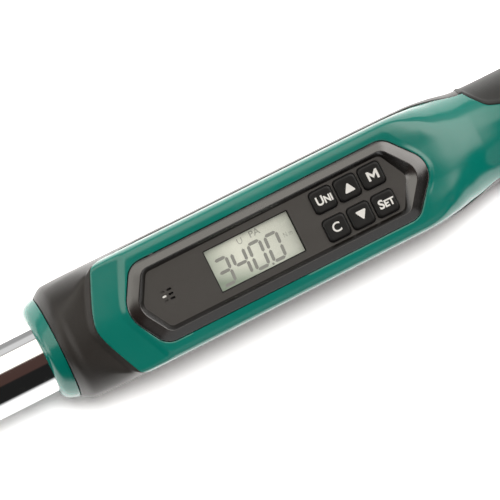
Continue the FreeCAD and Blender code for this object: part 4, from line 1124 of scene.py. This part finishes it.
def make_world():
    """Studio light as bands of brightness that depend on the angle about the tube's axis."""
    world = bpy.data.worlds.new("studio")
    bpy.context.scene.world = world
    world.use_nodes = True
    tree = world.node_tree
    place = tree.nodes.new("ShaderNodeTexCoord").outputs["Generated"]
    split = tree.nodes.new("ShaderNodeSeparateXYZ")
    tree.links.new(place, split.inputs["Vector"])
    angle = sky_math(tree, "ARCTAN2", split.outputs["Y"], split.outputs["Z"])
    turn = sky_math(tree, "DIVIDE", angle, 2 * math.pi)
    share = sky_math(tree, "ADD", turn, 0.5)
    from_middle = sky_math(tree, "SUBTRACT", split.outputs["X"], OVERHEAD_MIDDLE)
    lean = sky_math(tree, "ABSOLUTE", from_middle)
    beside = tree.nodes.new("ShaderNodeMapRange")
    beside.inputs["From Min"].default_value, beside.inputs["From Max"].default_value = OVERHEAD_EDGE
    tree.links.new(lean, beside.inputs["Value"])
    blend = tree.nodes.new("ShaderNodeMix")
    blend.data_type = "RGBA"
    tree.links.new(beside.outputs["Result"], blend.inputs[MIX_SHARE])
    overhead = sky_ramp(tree, share, NEAR_SKY + OVERHEAD + FAR_SKY)
    tree.links.new(overhead, blend.inputs[MIX_FIRST])
    tree.links.new(sky_ramp(tree, share, NEAR_SKY + BESIDE + FAR_SKY), blend.inputs[MIX_SECOND])
    background = tree.nodes["Background"]
    background.inputs["Strength"].default_value = SKY_STRENGTH
    tree.links.new(blend.outputs[MIX_RESULT], background.inputs["Color"])


def make_lamp(name, lamp, lit):
    """A soft far lamp that falls on some objects alone."""
    energy, spread, lean = lamp
    data = bpy.data.lights.new(name, "SUN")
    data.energy = energy
    data.angle = math.radians(spread)
    holder = bpy.data.objects.new(name, data)
    holder.rotation_euler = (math.radians(lean), 0, 0)
    bpy.context.scene.collection.objects.link(holder)
    receivers = bpy.data.collections.new(name + "_lit")
    for obj in lit:
        receivers.objects.link(obj)
    holder.light_linking.receiver_collection = receivers


# ---------------------------------------------------------------- making


def make_pieces(materials):
    """Every new piece, painted. Returns those that the low lamp falls on."""
    top, bottom, grip = make_skin()
    made = {
        "green_plastic": [top, *make_rings()],
        "dark_plastic": [bottom, make_wells()],
        "dark_rubber": [grip],
        "chrome": [make_tube()],
        "bezel_plastic": [make_bezel()],
    }
    keys, legends = make_keys()
    # The keys, and the band of painted shade round the display's window, are in the keys' dark rubber.
    made["key_rubber"] = [*keys, make_window_edge()]
    made["white_plastic"] = legends
    for slot, pieces in made.items():
        for piece in pieces:
            paint(piece, materials[slot])
    digits, signs = make_readout()
    paint(digits, display_ink("segment_ink", (0.19, 0.195, 0.175)))
    faint = display_ink("faint_ink", (0.35, 0.37, 0.32))
    for piece in signs:
        paint(piece, faint)
    return [top, bottom, grip, *made["bezel_plastic"]]


def main():
    bpy.context.scene.view_settings.view_transform = "Standard"
    materials = slot_materials()
    paint_frame(materials)
    low_lit = make_pieces(materials)
    make_camera()
    make_floor()
    make_world()
    make_lamp("low_lamp", LOW_LAMP, low_lit)


main()
